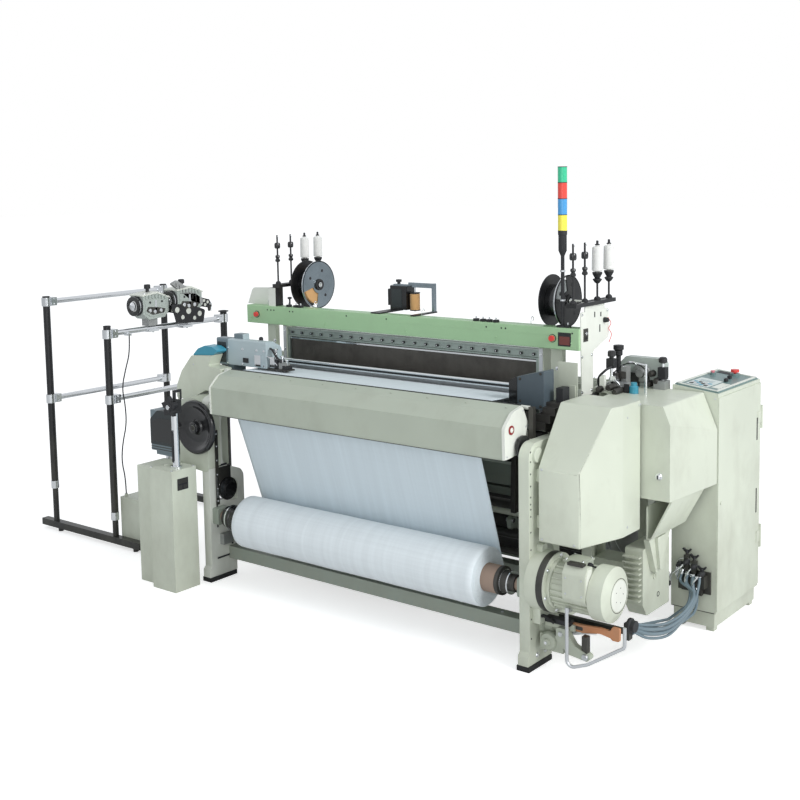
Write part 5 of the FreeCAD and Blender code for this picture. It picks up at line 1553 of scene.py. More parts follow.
@dataclass
class LowerDrive:
    """Let-off linkage, brake arm and coupling below the motor."""

    def build(self) -> None:
        """Stacks the castings on the right frame's foot and the lever bearer."""
        shop = Shop("lower_drive", Body.LOOM, "aluminium")
        shop.turned(SAGE, (0.4, 120, 190), Axis.X, [(46, 0), (46, 20), (34, 26), (34, 60), (22, 64),
            (22, 84)], 32)
        shop.lathe(BRIGHT, (84, 120, 190), Axis.X, [(0, 0), (11, 0), (11, 16), (0, 18)], 20)
        for index in range(4):
            angle = math.radians(90 * index + 45)
            shop.bolt((20.5, 120 + 38 * math.cos(angle), 190 + 38 * math.sin(angle)), Axis.X, 5, 5)
        shop.prism(SAGE, Axis.X, outline((150, 100, 8), (330, 92, 10), (330, 150, 10), (240, 210, 20),
            (150, 230, 10)), 0.4, 34)
        shop.block(MATT, (34, 160, 112), (16, 120, 60))
        shop.pipe(GROUND, [(50, 180, 150), (110, 190, 148), (150, 210, 152), (210, 230, 160)], 9, 12)
        shop.block(BLACK, (-90, 150, 96), (84, 190, 90))
        shop.block(SAGE, (16, 60, 96), (120, 66, 74))
        shop.turned(SAGE, (62, 60, 140), Axis.Y, [(15, -26), (17, -14), (36, -12), (42, 0), (42, 12)],
            32)
        shop.turned(BRIGHT, (62, 34, 140), Axis.Y, [(7, -5), (8, 0.4)], 20)
        arm = outline((104, 216, 10), (104, 160, 10), (168, 104, 16), (262, 92, 12), (282, 118, 12),
            (196, 150, 20), (150, 216, 10))
        shop.prism(SAGE, Axis.Y, arm, 52, 36)
        shop.turned(GROUND, (252, 52, 112), Axis.Y, [(13, -10), (16, -2), (16, 0.4)], 24)
        shop.turned(GROUND, (128, 52, 190), Axis.Y, [(10, -8), (12, 0.4)], 20)
        shop.block(IRON, (232, 56, 118), (26, 30, 84))
        shop.block(MATT, (16, 64, 226), (150, 40, 22))
        shop.pipe(RUBBER, [(20, 44, 250), (52, 36, 262), (70, 46, 250), (92, 58, 232)], 8, 12)
        shop.done(edge=1.0)


@dataclass
class InnerWorks:
    """Cross shafts, plates and levers between the side frames, a black sheet of painted shade behind
    them, and the chucks of the roll.
    """

    left: float = -2066.0
    right: float = -60.0

    def build(self) -> None:
        """Lays the shafts, the plates and the black sheet of painted shade from frame to frame and sets
        the chucks on the core.
        """
        shop = Shop("inner_works", Body.LOOM, "ground_steel")
        wide = self.right - self.left
        # A black sheet across the whole width stands in for the shade deep inside the frame: painted
        # shade.
        shop.block(BLACK, (self.left, 760, 250), (wide, 8, 640))
        # The plates and levers inside the frame take the darkened cream: painted shade on the same
        # cream paint.
        shop.block(SHADED_CREAM, (self.left, 640, 640), (wide, 60, 94))
        shop.block(SHADED_CREAM, (self.left, 644, 586), (wide, 50, 40))
        for y, z, radius, finish in ((600, 570, 12, BRIGHT), (600, 522, 22, CREAM),
            (560, 330, 18, IRON), (620, 400, 26, BLACK)):
            shop.rod(finish, (self.left, y, z), Axis.X, radius, 0, wide)
        for index in range(6):
            x = -180 - 330 * index
            lever = outline((590, 480, 14), (640, 500, 10), (690, 430, 14), (660, 380, 14),
                (600, 430, 14))
            shop.prism(SHADED_CREAM, Axis.X, lever, x, 24)
            shop.rod(BRIGHT, (x - 8, 612, 470), Axis.X, 13, 0, 40, 20)
        shop.block(BLACK, (-2069.4, 66, 540), (2.4, 92, 96))
        shop.turned(GLOSS, (-2069, 128, 506), Axis.X, [(64, 0), (64, 14), (40, 20), (40, 30), (18, 32)],
            40)
        for y, z, deep, tall in ((44, 300, 10, 150), (150, 180, 12, 130), (40, 120, 90, 10),
            (176, 250, 10, 70), (60, 640, 70, 12)):
            shop.block(MATT, (-2069.6, y, z), (3, deep, tall))
        shop.block(CAST, (-2069, 64, 200), (30, 70, 60))
        for z in (150, 230, 300):
            shop.lathe(GROUND, (-2069, 190, z), Axis.X, [(0, 0), (10, 0), (10, 8), (0, 10)], 18)
        shop.turned(BLACK, (-84, 66, 1010), Axis.X, [(46, 0), (52, 6), (52, 20)], 32)
        shop.ring(MATT, (297, 668, 230), Axis.X, 9, 13, 1.4, 0)
        shop.done(edge=1.0)
        chuck = Shop("roll_chucks", Body.CLOTH_ROLL, "ground_steel")
        chuck.lathe(GLOSS, (-1990, 60, 372), Axis.X, [(20, 0), (58, 0), (58, 26), (70, 30), (70, 62),
            (67, 66), (67, 140), (20, 140)], 40)
        chuck.ring(BRIGHT, (-1960, 60, 372), Axis.X, 69, 71, 4, 12, 40)
        chuck.lathe(IRON, (-190, 60, 372), Axis.X, [(20, 0), (67.5, 0), (67.5, 18), (52, 22), (52, 60),
            (40, 64), (40, 90), (20, 90)], 40)
        for x in (-172, -132):
            chuck.lathe(BRIGHT, (x, 60, 372), Axis.X, [(20, 0), (55, 0), (55, 6), (20, 6)], 40)
        chuck.done(edge=0.6)


@dataclass
class StartLever:
    """The starting lever: a slender pressed arm that ends in a deeper grip."""

    def build(self) -> None:
        """Presses the arm and rounds it."""
        shop = Shop("start_lever", Body.LEVER, "copper_paint")
        arm = outline((150.5, 203, 8), (214, 200, 14), (300, 216, 20), (352, 208, 8), (362, 199, 6),
            (396, 199, 8), (397, 260, 8), (362, 260, 6), (350, 238, 12), (300, 242, 20), (214, 236, 14),
            (150.5, 236, 8))
        shop.prism(COPPER, Axis.Y, arm, 95.5, 15)
        shop.prism(IRON, Axis.Y, outline((170, 211, 6), (216, 209, 6), (216, 227, 6), (170, 227, 6)),
            94.9, 1)
        shop.done(edge=1.8, replaces=("clutch_lever",))


@dataclass
class BeatUpBar:
    """Bright guide bar with its black strip that swings just in front of the reed."""

    def build(self) -> None:
        """Lays the bars between two small end brackets on the sley."""
        shop = Shop("beat_up_bar", Body.SLEY, "bright_steel")
        shop.rod(BRIGHT, (-1960, 452, 1208), Axis.X, 7.5, 0, 1660, 20)
        shop.block(MATT, (-1960, 456, 1189.5), (1660, 7, 11))
        for x in (-1962, -306):
            shop.block(MATT, (x, 446, 1188), (8, 24, 26))
        shop.done(edge=0.4)


@dataclass
class AirSupply:
    """Tubes, elbows and fittings round the valve block, and the run of hoses below it."""

    depth: float = 880.0

    def build(self) -> None:
        """Plumbs the block."""
        shop = Shop("air_fittings", Body.LOOM, "ground_steel")
        y = self.depth
        for x, z in ((332, 300), (356, 292), (380, 284), (404, 276)):
            shop.turned(BRIGHT, (x, y - 20, z), Axis.Y, [(9, 6), (9, -8), (6, -12)], 16)
        for index, x in enumerate((332, 360, 392, 424)):
            low = 196 - 20 * index
            shop.pipe(HOSE, [(408, 204, 252 - 12 * index), (432, 300, low + 26), (440, 470, low - 16),
                (446 - 6 * index, 640, low - 10), (426, 780, low + 30), (x + 4, y - 46, 250),
                (x, y - 30, 286)], (6.5, 9.5, 9.5, 6.5)[index], 12, 8)
            shop.lathe(BRIGHT, (x, y - 30, 286), Axis.Z, [(0, 0), (11, 0), (11, 10), (0, 12)], 16)
        shop.turned(MATT, (392, 192, 246), Axis.X, [(34, 0), (34, 12), (26, 16), (26, 34)], 32)
        for x, z, way in ((318, 330, -1), (352, 345, 1), (392, 330, 1), (430, 300, 1)):
            shop.turned(MATT, (x, y - 8, z), Axis.Y, [(13, 0), (13, -26), (8, -30), (8, -44)], 20)
            shop.pipe(BRIGHT, [(x, y - 40, z), (x - 10 * way, y - 56, z - 14), (x - 26, y - 60, z - 44),
                (x - 34, y - 50, z - 84)], 4, 10)
        for z in (330, 352):
            shop.pipe(BRIGHT, [(300, y - 30, z - 60), (306, y - 12, z - 10), (330, y - 6, z + 4),
                (370, y - 6, z + 4)], 4, 10)
        shop.block(IRON, (306, y - 14, 205), (46, 22, 44))
        shop.block(IRON, (372, y - 14, 188), (56, 22, 52))
        shop.turned(BRIGHT, (400, y - 14, 214), Axis.Y, [(16, 0), (16, -14), (10, -18)], 24)
        shop.done(edge=0.4)


@dataclass
class CabinetDetails:
    """Hinge strips, seams, plinth, foot and panel fittings of the control cabinet."""

    right: float = 484.0
    front: float = 906.0

    def build(self) -> None:
        """Adds the fittings of the cabinet and its sloping panel."""
        shop = Shop("cabinet_fittings", Body.LOOM, "cream_paint")
        shop.block(MATT, (259, self.front - 1.2, 96), (216, 1.4, 3))
        for x in (262, 470):
            shop.turned(GROUND, (x, self.front, 1150), Axis.Y, [(4, -2), (5, 0.4)], 14)
        shop.done(edge=0.3)
        door = Shop("door_fittings", Body.DOOR, "black_plastic")
        x = self.right + 5.0
        for low, high in ((868, 982), (492, 618)):
            door.block(MATT, (x - 0.2, 1371, low), (1.6, 11, high - low))
            door.block(GLOSS, (x + 1.2, 1374, low + 10), (0.9, 5, high - low - 20))
        door.done(edge=0.2)


@dataclass
class PanelFace:
    """Membrane face of the sloping panel: frame, key fields, window and label-free plates."""

    slope: float = -(1200 - 1174) / 234
    left: float = 262.0
    right: float = 472.0
    near: float = 925.0
    far: float = 1402.0

    def height(self, x: float) -> float:
        """Height of the panel's face at a place across it."""
        return 1200 + self.slope * (x - 250) + 6.6

    def field(self, shop: Shop, finish: Finish, low: Point, high: Point, lift: float) -> None:
        """A thin plate that follows the slope.

        Args:
            shop: Piece that it goes into.
            finish: What it is made of.
            low: Its near left corner.
            high: Its far right corner.
            lift: Its thickness.
        """
        ring = []
        for lift_by in (0.0, lift):
            ring.append([Vector((x, y, self.height(x) + lift_by)) for x, y in
                         ((low[0], low[1]), (high[0], low[1]), (high[0], high[1]),
                          (low[0], high[1]))])
        shop.skin(finish, ring)

    def build(self) -> None:
        """Lays the frame and the fields onto the panel."""
        shop = Shop("panel_face", Body.LOOM, "panel_paint")
        frame_wide = 12
        for low, high in (((self.left, self.near), (self.right, self.near + frame_wide)),
            ((self.left, self.far - frame_wide), (self.right, self.far)), ((self.left, self.near),
            (self.left + frame_wide, self.far)), ((self.right - frame_wide, self.near),
            (self.right, self.far))):
            self.field(shop, WHITE, low, high, 4.0)
        self.field(shop, KEYS, (self.left + 30, self.near + 40), (self.right - 70, 1150), 1.6)
        self.field(shop, WINDOW, (self.left + 48, self.near + 150), (self.right - 92, 1110), 2.4)
        for column in range(4):
            for row in range(3):
                x = self.left + 40 + 24 * column
                y = self.near + 54 + 28 * row
                self.field(shop, (MATT, GROUND, BLUE)[(column + row) % 3], (x, y), (x + 17, y + 18),
                           3.2)
        self.field(shop, WHITE, (self.right - 58, self.near + 60), (self.right - 20, 1120), 1.8)
        self.field(shop, MATT, (self.left + 26, 1330), (self.left + 96, 1382), 1.6)
        for x, y in ((self.left + 6, self.near + 6), (self.right - 6, self.near + 6),
            (self.left + 6, self.far - 6), (self.right - 6, self.far - 6)):
            shop.lathe(GROUND, (x, y, self.height(x) + 3.6), Axis.Z,
                [(0, 1.6), (3, 1.4), (4, 0), (0, 0)], 14)
        shop.done(edge=0.3)


@dataclass
class SelvedgeUnit:
    """Rods, clamps, knobs and a blue solenoid behind the right upright and the covers."""

    def build(self) -> None:
        """Stacks the unit on the right frame's top and the rear cover."""
        shop = Shop("selvedge_unit", Body.LOOM, "ground_steel")
        foot = 1040.0
        shop.block(CREAM, (4, 640, 1175.2), (90, 200, 10))
        shop.rod(BRIGHT, (30, 700, 1185), Axis.Z, 8, 0, 150, 18)
        shop.block(MATT, (10, 682, 1290), (40, 36, 46))
        shop.turned(GLOSS, (30, 700, 1335), Axis.Z, [(11, 0), (11, 8), (19, 12), (19, 34), (14, 40)],
            22)
        shop.rod(BRIGHT, (62, 760, 1185), Axis.Z, 7, 0, 110, 18)
        shop.block(IRON, (44, 738, 1235), (40, 44, 34))
        shop.block(GROUND, (30, 690, 1205), (130, 26, 20))
        shop.lathe(BLUE, (150, 700, 1176), Axis.Z, [(0, 0), (22, 0), (22, 34), (15, 40), (15, 54),
            (0, 56)], 26)
        shop.block(MATT, (104, 684, 1176), (26, 34, 44))
        shop.rod(BRIGHT, (212, 700, 1175), Axis.Z, 6, 0, 148, 16)
        shop.pipe(BRIGHT, [(212, 700, 1316), (150, 712, 1322), (90, 760, 1316), (40, 860, 1300)], 5, 10)
        shop.pipe(RUBBER, [(30, 716, 1262), (60, 790, 1300), (120, 850, 1280), (150, 880, 1190)], 3.2,
            10)
        shop.rod(BRIGHT, (212, 880, 1174), Axis.Z, 7, 0, 130, 16)
        shop.block(MATT, (192, 862, 1226), (40, 36, 58))
        shop.lathe(GLOSS, (212, 880, 1300), Axis.Z, [(0, 0), (9, 2), (21, 8), (21, 26), (14, 34),
            (0, 36)], 22)
        shop.block(CAST, (176, 850, 1174), (60, 60, 46))
        shop.block(IRON, (-52, 900, foot - 120), (44, 120, 130))
        body = outline((-20, 1176, 4), (190, 1176, 4), (216, 1230, 16), (216, 1300, 12),
            (190, 1322, 10), (10, 1322, 12), (-20, 1290, 12))
        shop.block(CREAM, (-50, 660, 1132), (44, 60, 62))
        shop.block(IRON, (14, 720, 1176), (40, 30, 84))
        shop.block(CAST, (58, 744, 1176), (30, 40, 118))
        shop.block(WHITE, (-8, 650, 1184), (26, 20, 74))
        shop.rod(BRIGHT, (40, 690, 1234), Axis.Y, 20, 0, 30)
        for x, z in ((150, 1200), (186, 1216), (160, 1250)):
            shop.turned(IRON, (x, 866, z), Axis.Y, [(11, -22), (16, -8), (16, 18)], 20)
        shop.prism(FEEDER, Axis.Y, body, 884, 50)
        shop.turned(CAST, (96, 884, 1246), Axis.Y, [(20, -26), (24, -12), (44, -10), (50, 0)], 32)
        shop.block(BLACK, (26, 866, 1176), (60, 18, 70))
        shop.block(IRON, (-50, 640, foot), (44, 240, 92))
        shop.block(BLACK, (-44, 560, foot), (36, 70, 130))
        for x, z in ((-30, 1160), (0, 1192), (54, 1206), (88, 1188)):
            shop.turned(IRON, (x, 636, z), Axis.Y, [(13, -18), (16, -4), (16, 60)], 20)
        shop.lathe(MATT, (-28, 880, foot), Axis.Z, [(0, 0), (12, 0), (12, 280), (20, 286), (20, 308),
            (26, 314), (26, 334), (0, 338)], 22)
        shop.pipe(BRIGHT, [(-20, 700, 1150), (10, 690, 1210), (60, 690, 1230), (100, 700, 1180)], 4.5,
            10)
        shop.pipe(MATT, [(-10, 690, 1120), (-20, 660, 1230), (20, 650, 1280), (40, 690, 1300)], 6, 10)
        shop.done(edge=0.5)


@dataclass
class EndPanelDetails:
    """Slots, screws and knob of the right yarn bracket, and the display on the beam's end."""

    def build(self) -> None:
        """Screws the details to the white end panel and the beam's face."""
        shop = Shop("end_panel_fittings", Body.LOOM, "black_plastic")
        face = -30.8
        for y, z, tall in ((640, 1538, 26), (700, 1536, 22), (690, 1462, 36)):
            shop.block(MATT, (face - 0.3, y, z), (1.0, 9, tall))
        shop.block(IRON, (face - 0.2, 536, 1430), (2.6, 42, 62))
        shop.lathe(BRIGHT, (face + 2, 556, 1470), Axis.X, [(0, 0), (8, 0), (8, 5), (0, 6)], 18)
        shop.rod(MATT, (face + 2, 560, 1446), Axis.X, 6, 0, 4, 16)
        shop.turned(MATT, (face, 738, 1516), Axis.X, [(13, 0), (13, 10), (9, 24)], 20)
        for y, z in ((524, 1190), (616, 1190), (524, 1360), (616, 1360), (524, 1560), (770, 1560)):
            shop.bolt((face, y, z), Axis.X, 5, 4)
        shop.block(MATT, (-148, 499.2, 1408), (71, 1.6, 66))
        shop.block(DISPLAY, (-141, 498.4, 1415), (57, 1.4, 40))
        for x in (-134, -115, -96):
            shop.block(MATT, (x, 498.2, 1461), (12, 1.4, 6))
        for x in (-2165, -178):
            shop.lathe(MATT, (x, 500, 1443), Axis.Y, [(17.4, 0.2), (20, 0.2), (20, -3), (17.4, -4)], 30,
                looped=True)
        shop.done(edge=0.2)


# ---------------------------------------------------------------------------------------------
# Frames, breast beam and left side


@dataclass
class BreastDetails:
    """End cap with its red-ringed knob, cover seam, screws and the strip behind the cover."""

    def build(self) -> None:
        """Adds the fittings of the breast beam."""
        shop = Shop("breast_fittings", Body.LOOM, "cream_paint")
        cap = outline((-53, 967, 8), (-57, 1112, 34), (10, 1173, 60), (94, 1188, 12), (138, 1104, 14),
            (112, 1044, 30), (60, 1036, 20), (20, 972, 16))
        shop.prism(WHITE, Axis.X, cap, -96.2, 7)
        shop.ring(DEEP_RED, (-89, -4, 1096), Axis.X, 12, 21, 0, 3.5, 36)
        shop.lathe(WHITE, (-89, -4, 1096), Axis.X, [(0, 0), (11.8, 0), (11.8, 5), (9, 7), (0, 9)], 32)
        shop.block(MATT, (-82.4, -5.5, 1089), (1.2, 3, 14))
        for y, z in ((-38, 980), (96, 1168), (118, 1092), (40, 1046)):
            shop.lathe(GROUND, (-89.4, y, z), Axis.X, [(0, 2), (3.6, 1.8), (4.8, 0), (0, 0)], 14)
        shop.prism(MATT, Axis.X, [(98, 1188), (112, 1188), (112, 1192), (98, 1192)], -1975, 1866)
        for index in range(9):
            x = -1930 + 222 * index
            shop.lathe(SAGE, (x, 56, 1181.4), Axis.Z, [(0, 3), (4, 2.6), (5.5, 0), (0, 0)], 14)
        shop.block(MATT, (-1978, -50.6, 962), (1871, 2.2, 2.2))
        shop.done(edge=0.4)


@dataclass
class FrameDetails:
    """Adjusting holes, bolts and slotted guide strips of both side frames."""

    span: float = 2125.0

    def build(self) -> None:
        """Adds the fittings of both frames and the cross beams."""
        shop = Shop("frame_fittings", Body.LOOM, "black_plastic")
        for x, way in ((0.0, 1.0), (-self.span, -1.0)):
            for z in (1004, 960, 905, 850, 800, 768, 745, 712, 640, 560, 300, 240, 150):
                shop.rod(MATT, (x, 14, z), Axis.X, 4.2, way * 0.6, -way * 0.6, 14)
            for y, z in ((60, 60), (130, 60), (1400, 60), (330, 985), (620, 985)):
                shop.bolt((x, y, z), Axis.X, 8, way * 7)
        inner = -self.span + 62
        for x in (inner, -62.0):
            way = 1.0 if x < -1000 else -1.0
            shop.block(BLACK, (x if way > 0 else x - 4, 40, 430), (4, 22, 420))
            shop.block(BRIGHT, (x + way * 4 if way > 0 else x - 6, 44, 470), (2, 12, 120))
            for z in (450, 520, 600, 680, 760, 830):
                shop.bolt((x + way * 4, 51, z), Axis.X, 4, way * 4)
        for index in range(8):
            x = -1900 + 235 * index
            shop.bolt((x, 165.0, 174), Axis.Z, 6, 5, GROUND)
        shop.done(edge=0.3)


@dataclass
class LeftDetails:
    """Bare plate, screws and post of the left boxes, the servo's case, handwheel and knob."""

    def build(self) -> None:
        """Adds the fittings and the case, and turns the dished handwheel and the lobed knob."""
        shop = Shop("left_fittings", Body.LOOM, "black_plastic")
        shop.block(MATT, (-2095.4, -209, 559), (1.8, 76, 64))
        for y, z, deep in ((-203, 564, 28), (-168, 564, 28), (-203, 595, 63)):
            shop.block(IRON, (-2094.2, y, z), (1.2, deep, 22))
        for x, y in ((-2270, -237), (-2105, -237), (-2270, -82), (-2105, -82)):
            shop.bolt((x, y, 672), Axis.Z, 5, 4)
        shop.turned(CREAM, (-2235, -150, 672), Axis.Z, [(22, 0), (22, 4), (16, 8)], 28)
        shop.lathe(BRIGHT, (-2150, -160, 672), Axis.Z, [(21.3, 0), (31, 0), (31, 10), (21.3, 12)], 32,
            looped=True)
        shop.block(MATT, (-2156, -186.4, 705), (12, 3.5, 172))
        case = outline((-2622, 704, 4), (-2379, 704, 4), (-2379, 880, 6), (-2420, 905.5, 6),
            (-2560, 905.5, 30), (-2622, 850, 20))
        shop.prism(CHARCOAL, Axis.Y, case, 58, 174)
        shop.prism(GLOSS, Axis.Y, outline((-2606, 722, 4), (-2400, 722, 4), (-2400, 862, 4),
            (-2548, 862, 24), (-2606, 838, 14)), 56.4, 2)
        for z in (676, 690):
            shop.block(IRON, (-2618, 57.4, z), (232, 3, 4))
        shop.done(edge=0.3)
        wheel = Shop("dished_handwheel", Body.HAND_WHEEL, "black_plastic")
        place = (-2130, -8.3, 873)
        wheel.lathe(GLOSS, place, Axis.Y, [(14.5, -4), (60, -6), (122, -12), (146, -12), (150, -16),
            (150, -30), (146, -36), (132, -38), (122, -34), (110, -24), (92, -18), (60, -15), (44, -16),
            (36, -24), (33, -44), (28, -47), (14.5, -47)], 96, looped=True)
        wheel.turned(MATT, (-2254, -30, 873), Axis.Y, [(10, 0), (12, -30), (12, -38), (9, -44)], 24)
        wheel.rod(IRON, place, Axis.Y, 13, -46, -49)
        wheel.done(edge=0.4, replaces=("handwheel",))
        knob = Shop("lobed_knob", Body.STAR_KNOB, "black_plastic")
        ring = []
        for index in range(90):
            angle = 2 * math.pi * index / 90 + math.pi / 2
            reach = 46 + 13 * math.cos(5 * (angle - math.pi / 2)) ** 3
            ring.append((-2150 + reach * math.cos(angle), 1010 + reach * math.sin(angle)))
        knob.prism(MATT, Axis.Y, ring, -205, 23.5)
        knob.turned(MATT, (-2150, -205, 1010), Axis.Y, [(26, 1), (24, -4)], 32)
        knob.lathe(BRIGHT, (-2150, -209, 1010), Axis.Y, [(0, 0.5), (13, 0.5), (13, -3), (0, -4)], 24)
        knob.done(edge=1.6, replaces=("clamp_knob",))


@dataclass
class RapierDetails:
    """Dark lamp box, hose ends, seams and screws of the rapier housings."""

    def build(self) -> None:
        """Adds the fittings of the left and right rapier housings."""
        shop = Shop("rapier_fittings", Body.LOOM, "black_plastic")
        end = outline((203, 1190, 5), (332, 1190, 5), (332, 1301, 28), (261, 1340, 18), (203, 1340, 7))
        shop.prism(SLATE, Axis.X, end, -2193, 88)
        shop.prism(CHARCOAL, Axis.Y, outline((-2186, 1204, 4), (-2118, 1204, 4), (-2118, 1318, 4),
            (-2186, 1318, 4)), 201, 3)
        shop.block(MATT, (-1985, 200.6, 1214), (40, 6, 26))
        shop.block(BRIGHT, (-1890, 196, 1202), (46, 10, 62))
        for x, tall in ((-1868, 70), (-1836, 96), (-1806, 58)):
            shop.rod(BRIGHT, (x, 236, 1186), Axis.Z, 8, 0, tall, 18)
        shop.block(IRON, (-1880, 212, 1188), (220, 60, 8))
        shop.block(MATT, (-1800, 222, 1194), (60, 40, 50))
        shop.block(BRIGHT, (-1790, 214, 1200), (34, 12, 60))
        shop.block(CAST, (-1736, 226, 1196), (52, 34, 34))
        shop.block(MATT, (-1700, 216, 1196), (30, 48, 20))
        for x, tall in ((-1772, 96), (-1724, 62), (-1690, 44)):
            shop.lathe(BRIGHT, (x, 244, 1196), Axis.Z, [(0, 0), (7, 0), (7, tall), (12, tall + 2),
                (12, tall + 10), (0, tall + 12)], 18)
        shop.pipe(MATT, [(-1810, 240, 1300), (-1780, 226, 1296), (-1750, 224, 1262),
            (-1716, 230, 1230)], 6, 10)
        shop.pipe(BRIGHT, [(-1868, 226, 1240), (-1830, 214, 1262), (-1780, 214, 1250),
            (-1744, 224, 1214)], 4, 10)
        for x in (-2105, -1990, -1880, -1825):
            for z in (1204, 1288):
                shop.bolt((x, 205, z), Axis.Y, 5, -5)
        shop.turned(MATT, (-1900, 262, 1336), Axis.Z, [(12, 0), (12, 14), (6, 20)], 18)
        shop.pipe(MATT, [(-2190, 250, 1240), (-2215, 250, 1236), (-2236, 238, 1200),
            (-2240, 220, 1150)], 9, 12)
        face = outline((-264, 1166, 8), (-219, 1160, 4), (-219, 1291, 4), (-264, 1266, 12))
        shop.prism(GLOSS, Axis.Y, face, 247.5, 94)
        for x, z in ((-204, 1176), (-204, 1280), (-92, 1160), (-92, 1312)):
            shop.bolt((x, 250, z), Axis.Y, 5, -4, IRON)
        shop.block(MATT, (-40, 300, 1150), (36, 60, 96))
        shop.done(edge=0.6)


@dataclass
class CoverTrim:
    """Small things on the blue cap, the fender and the signal tower."""

    def build(self) -> None:
        """Adds the fittings."""
        shop = Shop("tower_rings", Body.LOOM, "black_plastic")
        for z in (1955, 2031, 2107, 2183, 2256.8):
            shop.ring(MATT, (-145, 540, z), Axis.Z, 20, 22.6, -1.6, 1.6, 40)
        for z in (1620, 1760):
            shop.ring(GROUND, (-145, 540, z), Axis.Z, 8, 13, 0, 8)
        for x, z in ((-2280, 1010), (-2090, 1100), (-2290, 1190)):
            shop.lathe(GROUND, (x, 110, z), Axis.Y, [(0, -2), (4, -1.8), (5, 0.2), (0, 0.2)], 14)
        shop.done(edge=0.2)


# ---------------------------------------------------------------------------------------------
# Solids taken over from the frame


@dataclass(frozen=True)
class Zone:
    """Part of a node with a finish of its own: faces whose middle lies in a box."""

    low: Point
    high: Point
    finish: Finish

    def holds(self, middle: Vector) -> bool:
        """Says whether a face's middle lies in the zone."""
        low, high = at(self.low), at(self.high)
        return all(low[i] <= middle[i] <= high[i] for i in range(3))


@dataclass
class Softened:
    """A node's solids with rounded edges, smooth round faces and finishes by zone."""

    node: str
    slot: str
    finish: Finish
    edge: float = 1.2
    zones: tuple[Zone, ...] = ()
    body: Body = Body.LOOM
    crease: float = 32.0

    def build(self) -> bpy.types.Object:
        """Copies the node's mesh, rounds its edges and lets the copy stand for it.

        Returns:
            The piece that stands for the node.
        """
        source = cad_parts[self.node].data
        made = bmesh.new()
        made.from_mesh(source)
        bmesh.ops.remove_doubles(made, verts=made.verts, dist=0.00002)
        bmesh.ops.dissolve_limit(made, angle_limit=math.radians(0.4), verts=made.verts,
                                 edges=made.edges, use_dissolve_boundaries=False)
        mesh = bpy.data.meshes.new(f"{self.node}_mesh")
        finishes = [self.finish] + [zone.finish for zone in self.zones]
        for face in made.faces:
            middle = face.calc_center_median()
            for number, zone in enumerate(self.zones, start=1):
                if zone.holds(middle):
                    face.material_index = number
            face.smooth = True
        made.to_mesh(mesh)
        made.free()
        for finish in finishes:
            mesh.materials.append(finish.make())
        piece = bpy.data.objects.new(f"{self.node}.looks", mesh)
        bpy.context.scene.collection.objects.link(piece)
        mesh.set_sharp_from_angle(angle=math.radians(self.crease))
        round_edges(piece, self.edge, self.crease)
        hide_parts(self.node)
        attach(piece, self.body.value)
        LOG.info("softened %s", self.node)
        return piece


# ---------------------------------------------------------------------------------------------
# Studio


